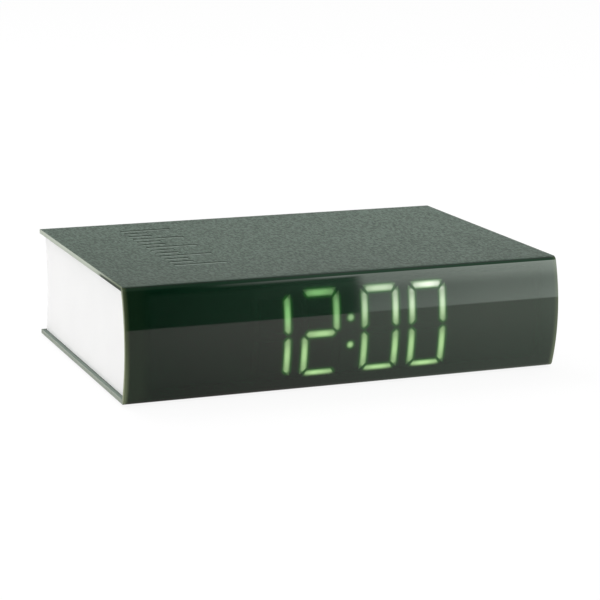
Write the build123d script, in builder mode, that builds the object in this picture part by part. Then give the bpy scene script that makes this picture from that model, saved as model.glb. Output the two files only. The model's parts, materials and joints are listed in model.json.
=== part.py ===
from build123d import *
import os
from math import sqrt

# A digital clock in the form of a book that lies on its back cover. One tinted jacket makes the front
# cover, the rounded spine and the back cover. A white page block slides into it from behind the spine
# and carries the lit display, the control board and the battery bay.
# Millimetres. X runs along the spine, the spine faces -Y, Z is up, and the feet stand on Z = 0.

os.makedirs("parts", exist_ok=True)

# Book
length = 200.0
board_depth = 134.0
body_height = 50.0
spine_bulge = 4.3
board_wall = 2.0
spine_wall = 2.2
spine_round = 2.5
inner_round = 0.8
rim_round = 0.3

# Clearances and overruns
fit_gap = 0.2
slide_gap = 0.15
seat_gap = 0.1
thread_gap = 0.05
overrun = 4.0

# Feet
foot_stand = 0.8
foot_radius = 6.0
foot_recess = 0.4
foot_edge = 0.3
corner_inset = 13.0

# Debossed hour scale on the front cover
scale_left = 34.0
scale_back = 18.5
scale_length = 80.0
scale_hours = 12
scale_long = 24.0
scale_short = 11.0
scale_bar = 3.0
scale_depth = 0.35

# Page block
page_recess = 2.2
page_wall = 2.2
page_floor = 2.2
fore_recess = 1.8
fore_hollow = 3.2

# Case screws, from below into bosses of the page block
screw_radius = 1.3
screw_head = 2.7
screw_head_depth = 1.2
screw_length = 8.0
screw_slot = 0.7
screw_slot_depth = 0.8
screw_step = 17.0
boss_wall = 1.9
boss_height = 9.0

# Display: digits, windows, reflector and light board
digit_margin = 3.7
digit_width = 17.8
digit_pitch = 22.3
colon_pitch = 27.6
stroke = 3.3
corner_cut = 1.1
mitre = 2.4
tip_inset = 1.2
middle_gap = 1.4
colon_step = 12.0
colon_radius = 1.7
display_aside = 1.05
display_drop = 0.95
mask_gap = 0.3
mask_wall = 1.2
pipe_depth = 3.0
pipe_gap = 0.1
reflector_depth = 3.1
reflector_margin = 6.5
light_board_wall = 1.6
light_board_margin = 12.5
light_board_drop = 1.2
guide_wall = 1.8
guide_lap = 1.6
rib_depth = 2.0
led_side = 1.6
led_height = 0.7
led_dome = 0.5
led_dome_radius = 0.6
driver_side = 12.0
driver_height = 2.2
driver_edge = 0.3

# Small self-tapping screws that hold boards and bay
small_radius = 1.0
small_head = 1.9
small_head_height = 1.4
small_length = 5.0
small_slot = 0.5
small_slot_depth = 0.6
small_edge = 3.2
small_boss_wall = 1.2

# Battery bay, cells and sliding door
cell_radius = 5.1
cell_body = 43.3
nub_radius = 1.9
nub_length = 1.2
cell_gap = 1.0
cell_count = 3
cell_round = 0.4
cell_edge = 0.5
contact_wall = 0.4
contact_width = 8.0
contact_height = 8.0
spring_reach = 3.0
spring_width = 4.0
dimple_reach = 0.6
dimple_radius = 1.6
bay_wall = 1.2
bay_play = 0.4
bay_rib = 0.8
bay_rib_depth = 3.0
bay_left = 21.0
bay_rear = 10.0
ear_width = 8.0
ear_reach = 7.5
ear_wall = 1.6
ear_lift = 4.0
tab_width = 3.0
tab_rise = 2.0
door_rail = 2.0
rail_wall = 1.0
door_round = 2.0
grip_width = 26.0
grip_bar = 1.0
grip_pitch = 2.4
grip_count = 5
grip_depth = 0.7
grip_rear = 9.0

# Control board behind the fore edge
panel_span = 84.0
panel_drop = 6.6
panel_wall = 1.6
panel_lift = 2.4
panel_side = 3.6
panel_round = 1.0
switch_room = 7.0
switch_side = 6.0
switch_body = 3.6
plunger_radius = 1.7
plunger_reach = 1.5
plunger_sink = 1.2
button_pitch = 12.0
button_first = 10.0
button_width = 6.8
button_tall = 4.6
button_round = 1.2
button_edge = 0.4
button_stand = 1.0
button_flange = 1.0
flange_lip = 1.0
flange_rest = 0.2
stem_radius = 1.5
button_travel = 0.6
mark_length = 2.6
mark_width = 0.6
mark_height = 0.2
slider_first = 60.0
slider_travel = 3.0
slider_width = 3.6
slider_tall = 2.4
slider_stand = 0.8
slider_can_width = 9.4
slider_can_tall = 4.4
slider_can_height = 3.6
slider_sink = 1.0
slider_groove = 0.4
inlet_first = 73.5
inlet_width = 8.94
inlet_tall = 3.26
inlet_wall = 0.3
inlet_short = 0.4
inlet_base = 1.4
tongue_width = 6.7
tongue_tall = 0.7
tongue_short = 1.4
sound_first = 66.0
sound_raise = 11.5
sound_radius = 0.6
sound_ring = 2.4
sound_holes = 6
buzzer_radius = 4.2
buzzer_height = 4.6
buzzer_port = 1.0
buzzer_port_depth = 0.8
chip_side = 9.0
chip_height = 1.4
chip_aside = 37.0
chip_rise = 1.5
crystal_radius = 1.1
crystal_length = 6.2
crystal_aside = 28.0
capacitor_radius = 2.5
capacitor_height = 7.0
capacitor_pitch = 9.0
capacitor_aside = 20.0
capacitor_edge = 0.4
socket_width = 15.0
socket_tall = 4.0
socket_depth = 2.6
socket_edge = 0.3
socket_raise = 4.0
ribbon_width = 12.0
ribbon_wall = 0.3
ribbon_bend = 3.0
ribbon_run = 9.0
ribbon_aside = 45.0
ribbon_raise = 12.0
lead_radius = 0.6
lead_bend = 3.0
lead_back = 13.0
lead_aside = 9.0
lead_step = 4.0

# Levels and depths that follow from the sizes
depth = board_depth + spine_bulge
apex_y = -depth / 2
board_front = apex_y + spine_bulge
board_rear = depth / 2
base_z = foot_stand
top_z = base_z + body_height
mid_z = base_z + body_height / 2
inner_floor = base_z + board_wall
inner_roof = top_z - board_wall
floor_top = inner_floor + page_floor
spine_radius = (body_height**2 / 4 + spine_bulge**2) / (2 * spine_bulge)
spine_centre = apex_y + spine_radius
page_half = length / 2 - page_recess
room_half = page_half - page_wall
page_rear = board_rear - fore_recess
page_tall = inner_roof - inner_floor
fore_radius = (page_tall**2 / 4 + fore_hollow**2) / (2 * fore_hollow)
fore_centre = page_rear - fore_hollow + fore_radius
fore_outer = page_rear - fore_hollow
fore_inner = fore_outer - page_wall


def bow_y(radius, z):
    """Y of a surface concentric with the rounded spine, at height z."""
    return spine_centre - sqrt(radius**2 - (z - mid_z) ** 2)


def hollow_y(radius, z):
    """Y of a surface concentric with the hollow fore edge, at height z."""
    return fore_centre - sqrt(radius**2 - (z - mid_z) ** 2)


def spine_arc(radius, low, high):
    """Arc about the spine's centre in the YZ plane, from low to high."""
    with BuildLine() as arc:
        ThreePointArc(
            (bow_y(radius, low), low), (spine_centre - radius, mid_z), (bow_y(radius, high), high)
        )
    return arc.line


def fore_arc(radius, low, high):
    """Arc about the fore edge's centre in the YZ plane, from low to high."""
    with BuildLine() as arc:
        ThreePointArc(
            (hollow_y(radius, low), low), (fore_centre - radius, mid_z), (hollow_y(radius, high), high)
        )
    return arc.line


def between(front, rear):
    """Closed outline of two upright arcs joined at their ends."""
    with BuildLine() as outline:
        add(front)
        add(rear)
        Line(front @ 0, rear @ 0)
        Line(front @ 1, rear @ 1)
    return outline.line


def bowed(radius, low, high, back):
    """Closed outline with an arc about the spine's centre in front and a straight back."""
    with BuildLine() as outline:
        front = spine_arc(radius, low, high)
        add(front)
        Polyline(front @ 0, (back, low), (back, high), front @ 1)
    return outline.line


def facing_front(y):
    """Plane at depth y that faces -Y; its own axes are X and Z."""
    return Plane.XZ.offset(-y)


# Bay and door sizes that the covers and the page block share
battery_half = (2 * contact_wall + spring_reach + cell_body + nub_length + dimple_reach) / 2
cell_pitch = 2 * cell_radius + cell_gap
bay_half = cell_count * cell_pitch / 2
bay_x = bay_left + bay_wall + battery_half - room_half
bay_y = fore_inner - bay_rear - bay_half
door_half = battery_half + bay_wall
door_front = bay_y - bay_half - bay_wall
door_top = inner_floor + seat_gap + rail_wall
cell_z = door_top + cell_edge + cell_radius
bay_roof = cell_z + cell_radius + bay_play
bay_top = bay_roof + bay_wall

# Places of the feet and of the case screws
foot_x = length / 2 - corner_inset
foot_front = board_front + corner_inset
foot_rear = board_rear - corner_inset
foot_places = {
    "foot_front_left": (-foot_x, foot_front),
    "foot_front_right": (foot_x, foot_front),
    "foot_rear_left": (-foot_x, foot_rear),
    "foot_rear_right": (foot_x, foot_rear),
}
screw_places = [
    (x, y) for x in (-foot_x, foot_x) for y in (foot_front + screw_step, foot_rear - screw_step)
]
rising = (Align.CENTER, Align.CENTER, Align.MIN)

# Jacket: front cover, rounded spine and back cover in one moulding, open at the fore edge
with BuildPart() as cover_jacket:
    with BuildSketch(Plane.YZ) as outside:
        with BuildLine():
            ThreePointArc((board_front, top_z), (apex_y, mid_z), (board_front, base_z))
            Polyline(
                (board_front, base_z), (board_rear, base_z), (board_rear, top_z), (board_front, top_z)
            )
        make_face()
        fillet(outside.vertices().sort_by(Axis.X)[:2], spine_round)
    extrude(amount=length / 2, both=True)
    with BuildSketch(Plane.YZ) as inside:
        make_face(bowed(spine_radius - spine_wall, inner_floor, inner_roof, board_rear + overrun))
        fillet(inside.vertices().sort_by(Axis.X)[:2], inner_round)
    extrude(amount=length / 2 + overrun, both=True, mode=Mode.SUBTRACT)
    fillet(cover_jacket.faces().filter_by(Axis.X).edges(), rim_round)
    # Hour scale: thirteen bars, each quarter a long one
    with BuildSketch(Plane.XY.offset(top_z)):
        for hour in range(scale_hours + 1):
            bar = scale_long if hour % (scale_hours // 4) == 0 else scale_short
            bar_y = board_rear - scale_back - hour * scale_length / scale_hours
            with Locations((scale_left - length / 2, bar_y)):
                Rectangle(bar, scale_bar, align=(Align.MIN, Align.CENTER))
    extrude(amount=-scale_depth, mode=Mode.SUBTRACT)
    # Recesses for the feet
    with BuildSketch(Plane.XY.offset(base_z)):
        with Locations(*foot_places.values()):
            Circle(foot_radius + seat_gap)
    extrude(amount=foot_recess, mode=Mode.SUBTRACT)
    # Way out for the battery door, open at the rear
    with BuildSketch(Plane.XY.offset(base_z)) as mouth:
        with Locations((bay_x, door_front - slide_gap)):
            Rectangle(
                2 * (door_half + slide_gap),
                board_rear - door_front + overrun,
                align=(Align.CENTER, Align.MIN),
            )
        fillet(mouth.vertices().sort_by(Axis.Y)[:2], door_round + slide_gap)
    extrude(amount=board_wall, mode=Mode.SUBTRACT)
    # Countersunk holes for the case screws
    with Locations(*[(x, y, base_z) for x, y in screw_places]):
        Cylinder(screw_radius + seat_gap, board_wall, align=rising, mode=Mode.SUBTRACT)
        Cone(
            screw_head + fit_gap,
            screw_radius + seat_gap,
            screw_head_depth + fit_gap,
            align=rising,
            mode=Mode.SUBTRACT,
        )
cover_jacket.part.label = "cover_jacket"
export_step(cover_jacket.part, "parts/cover_jacket.step")

# Feet, each in a shallow recess of the back cover
for name, (x, y) in foot_places.items():
    with BuildPart() as foot:
        with BuildSketch(Plane.XY):
            with Locations((x, y)):
                Circle(foot_radius)
        extrude(amount=foot_stand + foot_recess)
        fillet(foot.faces().sort_by(Axis.Z)[0].edges(), foot_edge)
    foot.part.label = name
    export_step(foot.part, f"parts/{name}.step")

# Case screws with flat heads and cross slots
with BuildPart() as case_screws:
    with Locations(*[(x, y, base_z + seat_gap) for x, y in screw_places]):
        Cone(screw_head, screw_radius, screw_head_depth, align=rising)
        Cylinder(screw_radius, screw_length, align=rising)
        Box(3 * screw_radius, screw_slot, screw_slot_depth, align=rising, mode=Mode.SUBTRACT)
        Box(screw_slot, 3 * screw_radius, screw_slot_depth, align=rising, mode=Mode.SUBTRACT)
case_screws.part.label = "case_screws"
export_step(case_screws.part, "parts/case_screws.step")


def small_screws(planes):
    """Pan-head screws; each plane lies under a head, and its Z points out of the head."""
    with BuildPart() as screws:
        for plane in planes:
            with BuildSketch(plane):
                Circle(small_radius)
            extrude(amount=-small_length)
            with BuildSketch(plane):
                Circle(small_head)
            extrude(amount=small_head_height)
            with BuildSketch(plane.offset(small_head_height)):
                Rectangle(small_head, small_slot)
                Rectangle(small_slot, small_head)
            extrude(amount=-small_slot_depth, mode=Mode.SUBTRACT)
    return screws


# Display levels, from the front backwards
digit_height = page_tall - 2 * digit_margin
digit_half = digit_width / 2
display_z = mid_z - display_drop
display_roof = inner_roof - fit_gap
mask_front = spine_radius - spine_wall - mask_gap
mask_rear = mask_front - mask_wall
block_front = mask_rear - seat_gap
block_back = bow_y(mask_rear, floor_top) + reflector_depth
light_board_rear = block_back + light_board_wall
light_board_roof = display_roof - light_board_drop
digit_reach = colon_pitch / 2 + digit_pitch + digit_half
reflector_half = digit_reach + reflector_margin
light_board_half = digit_reach + light_board_margin
light_screw_x = reflector_half - small_edge
light_screw_z = (floor_top + small_edge, light_board_roof - small_edge)
digit_places = {
    "hour_tens": display_aside - colon_pitch / 2 - digit_pitch,
    "hour_units": display_aside - colon_pitch / 2,
    "minute_tens": display_aside + colon_pitch / 2,
    "minute_units": display_aside + colon_pitch / 2 + digit_pitch,
}
colon_places = [(display_aside, display_z + side * colon_step / 2) for side in (-1, 1)]

# Control board levels
panel_back = fore_inner - switch_room
panel_front = panel_back - panel_wall
panel_right = room_half - panel_side
panel_left = panel_right - panel_span
panel_low = bay_top + panel_lift
panel_high = inner_roof - panel_drop
panel_screw_places = [
    (x, z)
    for x in (panel_left + small_edge, panel_right - small_edge)
    for z in (panel_low + small_edge, panel_high - small_edge)
]
button_names = ("set", "alarm", "up", "down")
button_places = [panel_left + button_first + step * button_pitch for step in range(len(button_names))]
slider_x = panel_left + slider_first
slot_x = slider_x + slider_travel / 2
inlet_x = panel_left + inlet_first
sound_x = panel_left + sound_first
sound_z = mid_z + sound_raise

# Ears of the battery bay, outside the rails of its door
ear_places = [(bay_x + side * (door_half + ear_reach / 2), bay_y) for side in (-1, 1)]
ear_top = floor_top + ear_lift + ear_wall
small_boss = small_radius + small_boss_wall

# Page block: floor, end walls and hollow fore edge, open above and in front
with BuildPart() as page_block:
    with BuildSketch(Plane.YZ) as profile:
        make_face(
            between(
                spine_arc(spine_radius - spine_wall - fit_gap, inner_floor, inner_roof - seat_gap),
                fore_arc(fore_radius, inner_floor, inner_roof - seat_gap),
            )
        )
        fillet(profile.vertices().sort_by(Axis.X)[:2], inner_round)
    extrude(amount=page_half, both=True)
    with BuildSketch(Plane.YZ):
        make_face(
            between(
                spine_arc(spine_radius, floor_top, inner_roof + overrun),
                fore_arc(fore_radius + page_wall, floor_top, inner_roof + overrun),
            )
        )
    extrude(amount=room_half, both=True, mode=Mode.SUBTRACT)
    # Bosses for the case screws
    with Locations(*[(x, y, floor_top) for x, y in screw_places]):
        Cylinder(screw_radius + boss_wall, boss_height, align=rising)
    with Locations(*[(x, y, inner_floor) for x, y in screw_places]):
        Cylinder(screw_radius + thread_gap, screw_length, align=rising, mode=Mode.SUBTRACT)
    # Bosses for the battery bay
    with Locations(*[(x, y, floor_top) for x, y in ear_places]):
        Cylinder(small_boss, ear_lift, align=rising)
        Cylinder(small_radius + thread_gap, ear_lift, align=rising, mode=Mode.SUBTRACT)
    # Bosses for the control board, out of the fore edge
    with BuildSketch(facing_front(fore_outer)):
        with Locations(*panel_screw_places):
            Circle(small_boss)
    extrude(amount=fore_outer - panel_back)
    with BuildSketch(facing_front(panel_back)):
        with Locations(*panel_screw_places):
            Circle(small_radius + thread_gap)
    extrude(amount=panel_wall - small_length - seat_gap, mode=Mode.SUBTRACT)
    # Grooved guides for the ends of the light board
    for side in (-1, 1):
        with Locations((side * (light_board_half - guide_lap), block_back - guide_wall, floor_top)):
            Box(
                guide_lap + guide_wall,
                light_board_wall + 2 * guide_wall,
                light_board_roof - floor_top,
                align=(Align.MIN if side > 0 else Align.MAX, Align.MIN, Align.MIN),
            )
        with Locations((side * (light_board_half + seat_gap), block_back - seat_gap, floor_top)):
            Box(
                guide_lap + guide_wall,
                light_board_wall + 2 * seat_gap,
                page_tall,
                align=(Align.MAX if side > 0 else Align.MIN, Align.MIN, Align.MIN),
                mode=Mode.SUBTRACT,
            )
        # Curved rib that holds the mask from behind
        with BuildSketch(Plane.YZ.offset(side * room_half)):
            make_face(
                between(
                    spine_arc(mask_rear - fit_gap, floor_top, display_roof),
                    spine_arc(mask_rear - fit_gap - rib_depth, floor_top, display_roof),
                )
            )
        extrude(amount=-side * rib_depth)
    # Mouth of the battery bay, and the groove that the door's rails run in
    with Locations((bay_x, bay_y, inner_floor)):
        Box(2 * battery_half, 2 * bay_half, page_floor, align=rising, mode=Mode.SUBTRACT)
    with Locations((bay_x, door_front - slide_gap, inner_floor)):
        Box(
            2 * (door_half + door_rail + slide_gap),
            depth,
            seat_gap + rail_wall + slide_gap,
            align=(Align.CENTER, Align.MIN, Align.MIN),
            mode=Mode.SUBTRACT,
        )
    # Openings of the fore edge: buttons, slider, power inlet and sound holes
    with BuildSketch(facing_front(board_rear)):
        with Locations(*[(x, mid_z) for x in button_places]):
            RectangleRounded(button_width + 2 * fit_gap, button_tall + 2 * fit_gap, button_round + fit_gap)
        with Locations((slot_x, mid_z)):
            Rectangle(slider_width + slider_travel + 2 * fit_gap, slider_tall + 2 * fit_gap)
        with Locations((inlet_x, mid_z)):
            SlotOverall(inlet_width + 2 * fit_gap, inlet_tall + 2 * fit_gap)
        with Locations((sound_x, sound_z)):
            Circle(sound_radius)
            with PolarLocations(sound_ring, sound_holes):
                Circle(sound_radius)
    extrude(amount=board_rear - panel_back - switch_body, mode=Mode.SUBTRACT)
page_block.part.label = "page_block"
export_step(page_block.part, "parts/page_block.step")


def bar_points():
    """Corners of a digit's top bar, about the middle of the digit."""
    high = digit_height / 2
    out = digit_half - corner_cut
    return [(-out, high), (out, high), (out - mitre, high - stroke), (mitre - out, high - stroke)]


def post_points():
    """Corners of a digit's upper right post, with its lower end pointed."""
    high = digit_height / 2 - corner_cut
    tip = middle_gap / 2
    return [
        (digit_half, high),
        (digit_half, tip + tip_inset),
        (digit_half - tip_inset, tip),
        (digit_half - stroke, tip + stroke - tip_inset),
        (digit_half - stroke, high - stroke),
    ]


def middle_points():
    """Corners of a digit's middle bar, pointed at both ends."""
    tip = digit_half - tip_inset - middle_gap / 2
    half = stroke / 2
    return [
        (tip, 0),
        (tip - half, half),
        (half - tip, half),
        (-tip, 0),
        (half - tip, -half),
        (tip - half, -half),
    ]


# For each segment: its corners, and the sides of the digit that it lies on, as signs of X and Z
segments = {
    "a": (bar_points(), 1, 1),
    "b": (post_points(), 1, 1),
    "c": (post_points(), 1, -1),
    "d": (bar_points(), 1, -1),
    "e": (post_points(), -1, -1),
    "f": (post_points(), -1, 1),
    "g": (middle_points(), 1, 1),
}
lit_segments = {"hour_tens": "bc", "hour_units": "abged", "minute_tens": "abcdef", "minute_units": "abcdef"}


def segment_outline(digit_x, letter):
    """Closed outline of one segment, in X and Z, of the digit whose middle is at digit_x."""
    points, right, up = segments[letter]
    with BuildLine() as outline:
        Polyline(*[(digit_x + right * x, display_z + up * z) for x, z in points], close=True)
    return outline.line


def chip_places(digit_x, letter):
    """Places of the two light chips behind one segment, in X and Z."""
    _, right, up = segments[letter]
    step = digit_half / 2
    climb = (digit_height - stroke) / 8
    if letter == "g":
        return [(digit_x - step, display_z), (digit_x + step, display_z)]
    if letter in "ad":
        z = display_z + up * (digit_height - stroke) / 2
        return [(digit_x - step, z), (digit_x + step, z)]
    x = digit_x + right * (digit_half - stroke / 2)
    z = display_z + up * digit_height / 4
    return [(x, z - climb), (x, z + climb)]


every_outline = [segment_outline(x, letter) for x in digit_places.values() for letter in segments]

# Mask: bowed black panel behind the spine, with a window for each segment
with BuildPart() as display_mask:
    with BuildSketch(Plane.YZ):
        make_face(
            between(
                spine_arc(mask_front, floor_top, display_roof), spine_arc(mask_rear, floor_top, display_roof)
            )
        )
    extrude(amount=room_half - fit_gap, both=True)
    with BuildSketch(facing_front(block_back)):
        for outline in every_outline:
            make_face(outline)
        with Locations(*colon_places):
            Circle(colon_radius)
    extrude(amount=depth, mode=Mode.SUBTRACT)
display_mask.part.label = "display_mask"
export_step(display_mask.part, "parts/display_mask.step")

# Reflector: block with a well behind each window
with BuildPart() as reflector_block:
    with BuildSketch(Plane.YZ):
        make_face(bowed(block_front, floor_top, display_roof, block_back))
    extrude(amount=reflector_half, both=True)
    with BuildSketch(facing_front(block_back)):
        for outline in every_outline:
            make_face(outline)
        with Locations(*colon_places):
            Circle(colon_radius)
    extrude(amount=depth, mode=Mode.SUBTRACT)
    with BuildSketch(facing_front(block_back)):
        with Locations(*[(side * light_screw_x, z) for side in (-1, 1) for z in light_screw_z]):
            Circle(small_radius + thread_gap)
    extrude(amount=small_length - light_board_wall + seat_gap, mode=Mode.SUBTRACT)
reflector_block.part.label = "reflector_block"
export_step(reflector_block.part, "parts/reflector_block.step")


def light_pipes(outlines, spots):
    """Milky fillings of the windows: given outlines and round spots, bowed in front and behind."""
    with BuildPart() as pipes:
        with BuildSketch(facing_front(block_back)):
            for outline in outlines:
                make_face(outline)
            if spots:
                with Locations(*spots):
                    Circle(colon_radius)
            offset(amount=-pipe_gap, kind=Kind.INTERSECTION)
        extrude(amount=depth)
        with BuildSketch(Plane.YZ):
            make_face(
                between(
                    spine_arc(mask_front - pipe_gap, floor_top, display_roof),
                    spine_arc(mask_front - pipe_depth, floor_top, display_roof),
                )
            )
        extrude(amount=reflector_half, both=True, mode=Mode.INTERSECT)
    return pipes


# Light pipes of each digit: the lit ones and the dark ones
for name, x in digit_places.items():
    lit = light_pipes([segment_outline(x, letter) for letter in lit_segments[name]], [])
    lit.part.label = f"{name}_lit_pipes"
    export_step(lit.part, f"parts/{name}_lit_pipes.step")
    unlit = [letter for letter in segments if letter not in lit_segments[name]]
    dark = light_pipes([segment_outline(x, letter) for letter in unlit], [])
    dark.part.label = f"{name}_dark_pipes"
    export_step(dark.part, f"parts/{name}_dark_pipes.step")
colon_pipes = light_pipes([], colon_places)
colon_pipes.part.label = "colon_pipes"
export_step(colon_pipes.part, "parts/colon_pipes.step")

# Light board, slid down into the guides behind the reflector
with BuildPart() as light_board:
    with Locations((0, block_back, floor_top)):
        Box(
            2 * light_board_half,
            light_board_wall,
            light_board_roof - floor_top,
            align=(Align.CENTER, Align.MIN, Align.MIN),
        )
    with BuildSketch(facing_front(light_board_rear)):
        with Locations(*[(side * light_screw_x, z) for side in (-1, 1) for z in light_screw_z]):
            Circle(small_radius + thread_gap)
    extrude(amount=light_board_wall, mode=Mode.SUBTRACT)
light_board.part.label = "light_board"
export_step(light_board.part, "parts/light_board.step")

# Light chips: two behind each segment and one behind each dot
chip_spots = [spot for x in digit_places.values() for letter in segments for spot in chip_places(x, letter)]
with BuildPart() as segment_leds:
    with BuildSketch(facing_front(block_back)):
        with Locations(*(chip_spots + colon_places)):
            Rectangle(led_side, led_side)
    extrude(amount=led_height)
    with BuildSketch(facing_front(block_back - led_height)):
        with Locations(*(chip_spots + colon_places)):
            Circle(led_dome_radius)
    extrude(amount=led_dome)
segment_leds.part.label = "segment_leds"
export_step(segment_leds.part, "parts/segment_leds.step")

light_board_screws = small_screws(
    [
        Plane(origin=(side * light_screw_x, light_board_rear, z), z_dir=(0, 1, 0))
        for side in (-1, 1)
        for z in light_screw_z
    ]
)
light_board_screws.part.label = "light_board_screws"
export_step(light_board_screws.part, "parts/light_board_screws.step")

with BuildPart() as display_driver:
    with BuildSketch(facing_front(light_board_rear + driver_height)):
        with Locations((0, mid_z)):
            Rectangle(driver_side, driver_side)
    extrude(amount=driver_height)
    chamfer(display_driver.faces().sort_by(Axis.Y)[-1].edges(), driver_edge)
display_driver.part.label = "display_driver"
export_step(display_driver.part, "parts/display_driver.step")

# Ribbon cable along the floor, between a socket on each board
ribbon_low = floor_top + seat_gap + ribbon_wall / 2
ribbon_front = light_board_rear + socket_depth
ribbon_front_z = floor_top + ribbon_raise
ribbon_rear = panel_front - socket_depth
ribbon_rear_z = panel_low + socket_raise
with BuildPart() as ribbon_cable:
    with BuildSketch(Plane.YZ.offset(ribbon_aside)):
        with BuildLine():
            FilletPolyline(
                (ribbon_front, ribbon_front_z),
                (ribbon_front + ribbon_run, ribbon_front_z),
                (ribbon_front + ribbon_run, ribbon_low),
                (ribbon_rear - ribbon_run, ribbon_low),
                (ribbon_rear - ribbon_run, ribbon_rear_z),
                (ribbon_rear, ribbon_rear_z),
                radius=ribbon_bend,
            )
        trace(line_width=ribbon_wall)
    extrude(amount=ribbon_width / 2, both=True)
ribbon_cable.part.label = "ribbon_cable"
export_step(ribbon_cable.part, "parts/ribbon_cable.step")

for name, y, z in (
    ("ribbon_socket_display", ribbon_front, ribbon_front_z),
    ("ribbon_socket_main", panel_front, ribbon_rear_z),
):
    with BuildPart() as ribbon_socket:
        with BuildSketch(facing_front(y)):
            with Locations((ribbon_aside, z)):
                Rectangle(socket_width, socket_tall)
        extrude(amount=socket_depth)
        chamfer(ribbon_socket.edges().filter_by(Axis.Y), socket_edge)
    ribbon_socket.part.label = name
    export_step(ribbon_socket.part, f"parts/{name}.step")

# Control board, on four bosses of the fore edge
with BuildPart() as control_board:
    with BuildSketch(facing_front(panel_back)):
        with Locations(((panel_left + panel_right) / 2, (panel_low + panel_high) / 2)):
            RectangleRounded(panel_span, panel_high - panel_low, panel_round)
        with Locations(*panel_screw_places):
            Circle(small_radius + thread_gap, mode=Mode.SUBTRACT)
    extrude(amount=panel_wall)
control_board.part.label = "control_board"
export_step(control_board.part, "parts/control_board.step")

control_board_screws = small_screws(
    [Plane(origin=(x, panel_front, z), z_dir=(0, -1, 0)) for x, z in panel_screw_places]
)
control_board_screws.part.label = "control_board_screws"
export_step(control_board_screws.part, "parts/control_board_screws.step")

# Push switches: square bodies with a well for the plunger
switch_top = panel_back + switch_body
with BuildPart() as switch_bodies:
    with BuildSketch(facing_front(switch_top)):
        with Locations(*[(x, mid_z) for x in button_places]):
            Rectangle(switch_side, switch_side)
    extrude(amount=switch_body)
    with BuildSketch(facing_front(switch_top)):
        with Locations(*[(x, mid_z) for x in button_places]):
            Circle(plunger_radius + seat_gap)
    extrude(amount=plunger_sink + button_travel + slide_gap, mode=Mode.SUBTRACT)
switch_bodies.part.label = "switch_bodies"
export_step(switch_bodies.part, "parts/switch_bodies.step")

# Plungers and caps of the four buttons
plunger_end = switch_top + plunger_reach
flange_back = fore_inner - flange_rest
cap_face = fore_outer + button_stand
for name, x in zip(button_names, button_places):
    with BuildPart() as plunger:
        with BuildSketch(facing_front(plunger_end)):
            with Locations((x, mid_z)):
                Circle(plunger_radius)
        extrude(amount=plunger_reach + plunger_sink)
    plunger.part.label = f"{name}_plunger"
    export_step(plunger.part, f"parts/{name}_plunger.step")

    with BuildPart() as cap:
        with BuildSketch(facing_front(cap_face)):
            with Locations((x, mid_z)):
                RectangleRounded(button_width, button_tall, button_round)
        extrude(amount=cap_face - flange_back)
        fillet(cap.faces().sort_by(Axis.Y)[-1].edges(), button_edge)
        with BuildSketch(facing_front(flange_back)):
            with Locations((x, mid_z)):
                Rectangle(button_width + 2 * flange_lip, button_tall + 2 * flange_lip)
        extrude(amount=button_flange)
        with BuildSketch(facing_front(flange_back - button_flange)):
            with Locations((x, mid_z)):
                Circle(stem_radius)
        extrude(amount=flange_back - button_flange - plunger_end)
        with BuildSketch(facing_front(cap_face)):
            with Locations((x, mid_z)):
                if name == "set":
                    Circle(mark_length / 2)
                    Circle(mark_length / 2 - mark_width, mode=Mode.SUBTRACT)
                if name == "alarm":
                    RegularPolygon(mark_length / 2, 3, rotation=90)
                if name in ("up", "down"):
                    Rectangle(mark_length, mark_width)
                if name == "up":
                    Rectangle(mark_width, mark_length)
        extrude(amount=-mark_height)
    cap.part.label = f"{name}_button"
    export_step(cap.part, f"parts/{name}_button.step")

# Alarm slider and the can that it slides in
can_top = panel_back + slider_can_height
with BuildPart() as slider_can:
    with BuildSketch(facing_front(can_top)):
        with Locations((slot_x, mid_z)):
            Rectangle(slider_can_width, slider_can_tall)
    extrude(amount=slider_can_height)
    with BuildSketch(facing_front(can_top)):
        with Locations((slot_x, mid_z)):
            Rectangle(slider_width + slider_travel + 2 * fit_gap, slider_tall + 2 * fit_gap)
    extrude(amount=slider_sink + fit_gap, mode=Mode.SUBTRACT)
slider_can.part.label = "slider_can"
export_step(slider_can.part, "parts/slider_can.step")

slider_face = fore_outer + slider_stand
with BuildPart() as alarm_slider:
    with BuildSketch(facing_front(slider_face)):
        with Locations((slider_x, mid_z)):
            Rectangle(slider_width, slider_tall)
    extrude(amount=slider_face - can_top + slider_sink)
    with BuildSketch(facing_front(slider_face)):
        with Locations((slider_x, mid_z)):
            with GridLocations(slider_width / 3, 0, 3, 1):
                Rectangle(slider_groove, slider_tall)
    extrude(amount=slider_groove, mode=Mode.SUBTRACT)
alarm_slider.part.label = "alarm_slider"
export_step(alarm_slider.part, "parts/alarm_slider.step")

# Power inlet: a shell with a flat tongue inside
inlet_face = fore_outer - inlet_short
inlet_bottom = panel_back + inlet_base
with BuildPart() as power_inlet:
    with BuildSketch(facing_front(inlet_face)):
        with Locations((inlet_x, mid_z)):
            SlotOverall(inlet_width, inlet_tall)
    extrude(amount=inlet_face - panel_back)
    with BuildSketch(facing_front(inlet_face)):
        with Locations((inlet_x, mid_z)):
            SlotOverall(inlet_width - 2 * inlet_wall, inlet_tall - 2 * inlet_wall)
    extrude(amount=inlet_face - inlet_bottom, mode=Mode.SUBTRACT)
power_inlet.part.label = "power_inlet"
export_step(power_inlet.part, "parts/power_inlet.step")

with BuildPart() as inlet_tongue:
    with BuildSketch(facing_front(inlet_face - tongue_short)):
        with Locations((inlet_x, mid_z)):
            Rectangle(tongue_width, tongue_tall)
    extrude(amount=inlet_face - tongue_short - inlet_bottom)
inlet_tongue.part.label = "inlet_tongue"
export_step(inlet_tongue.part, "parts/inlet_tongue.step")

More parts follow.
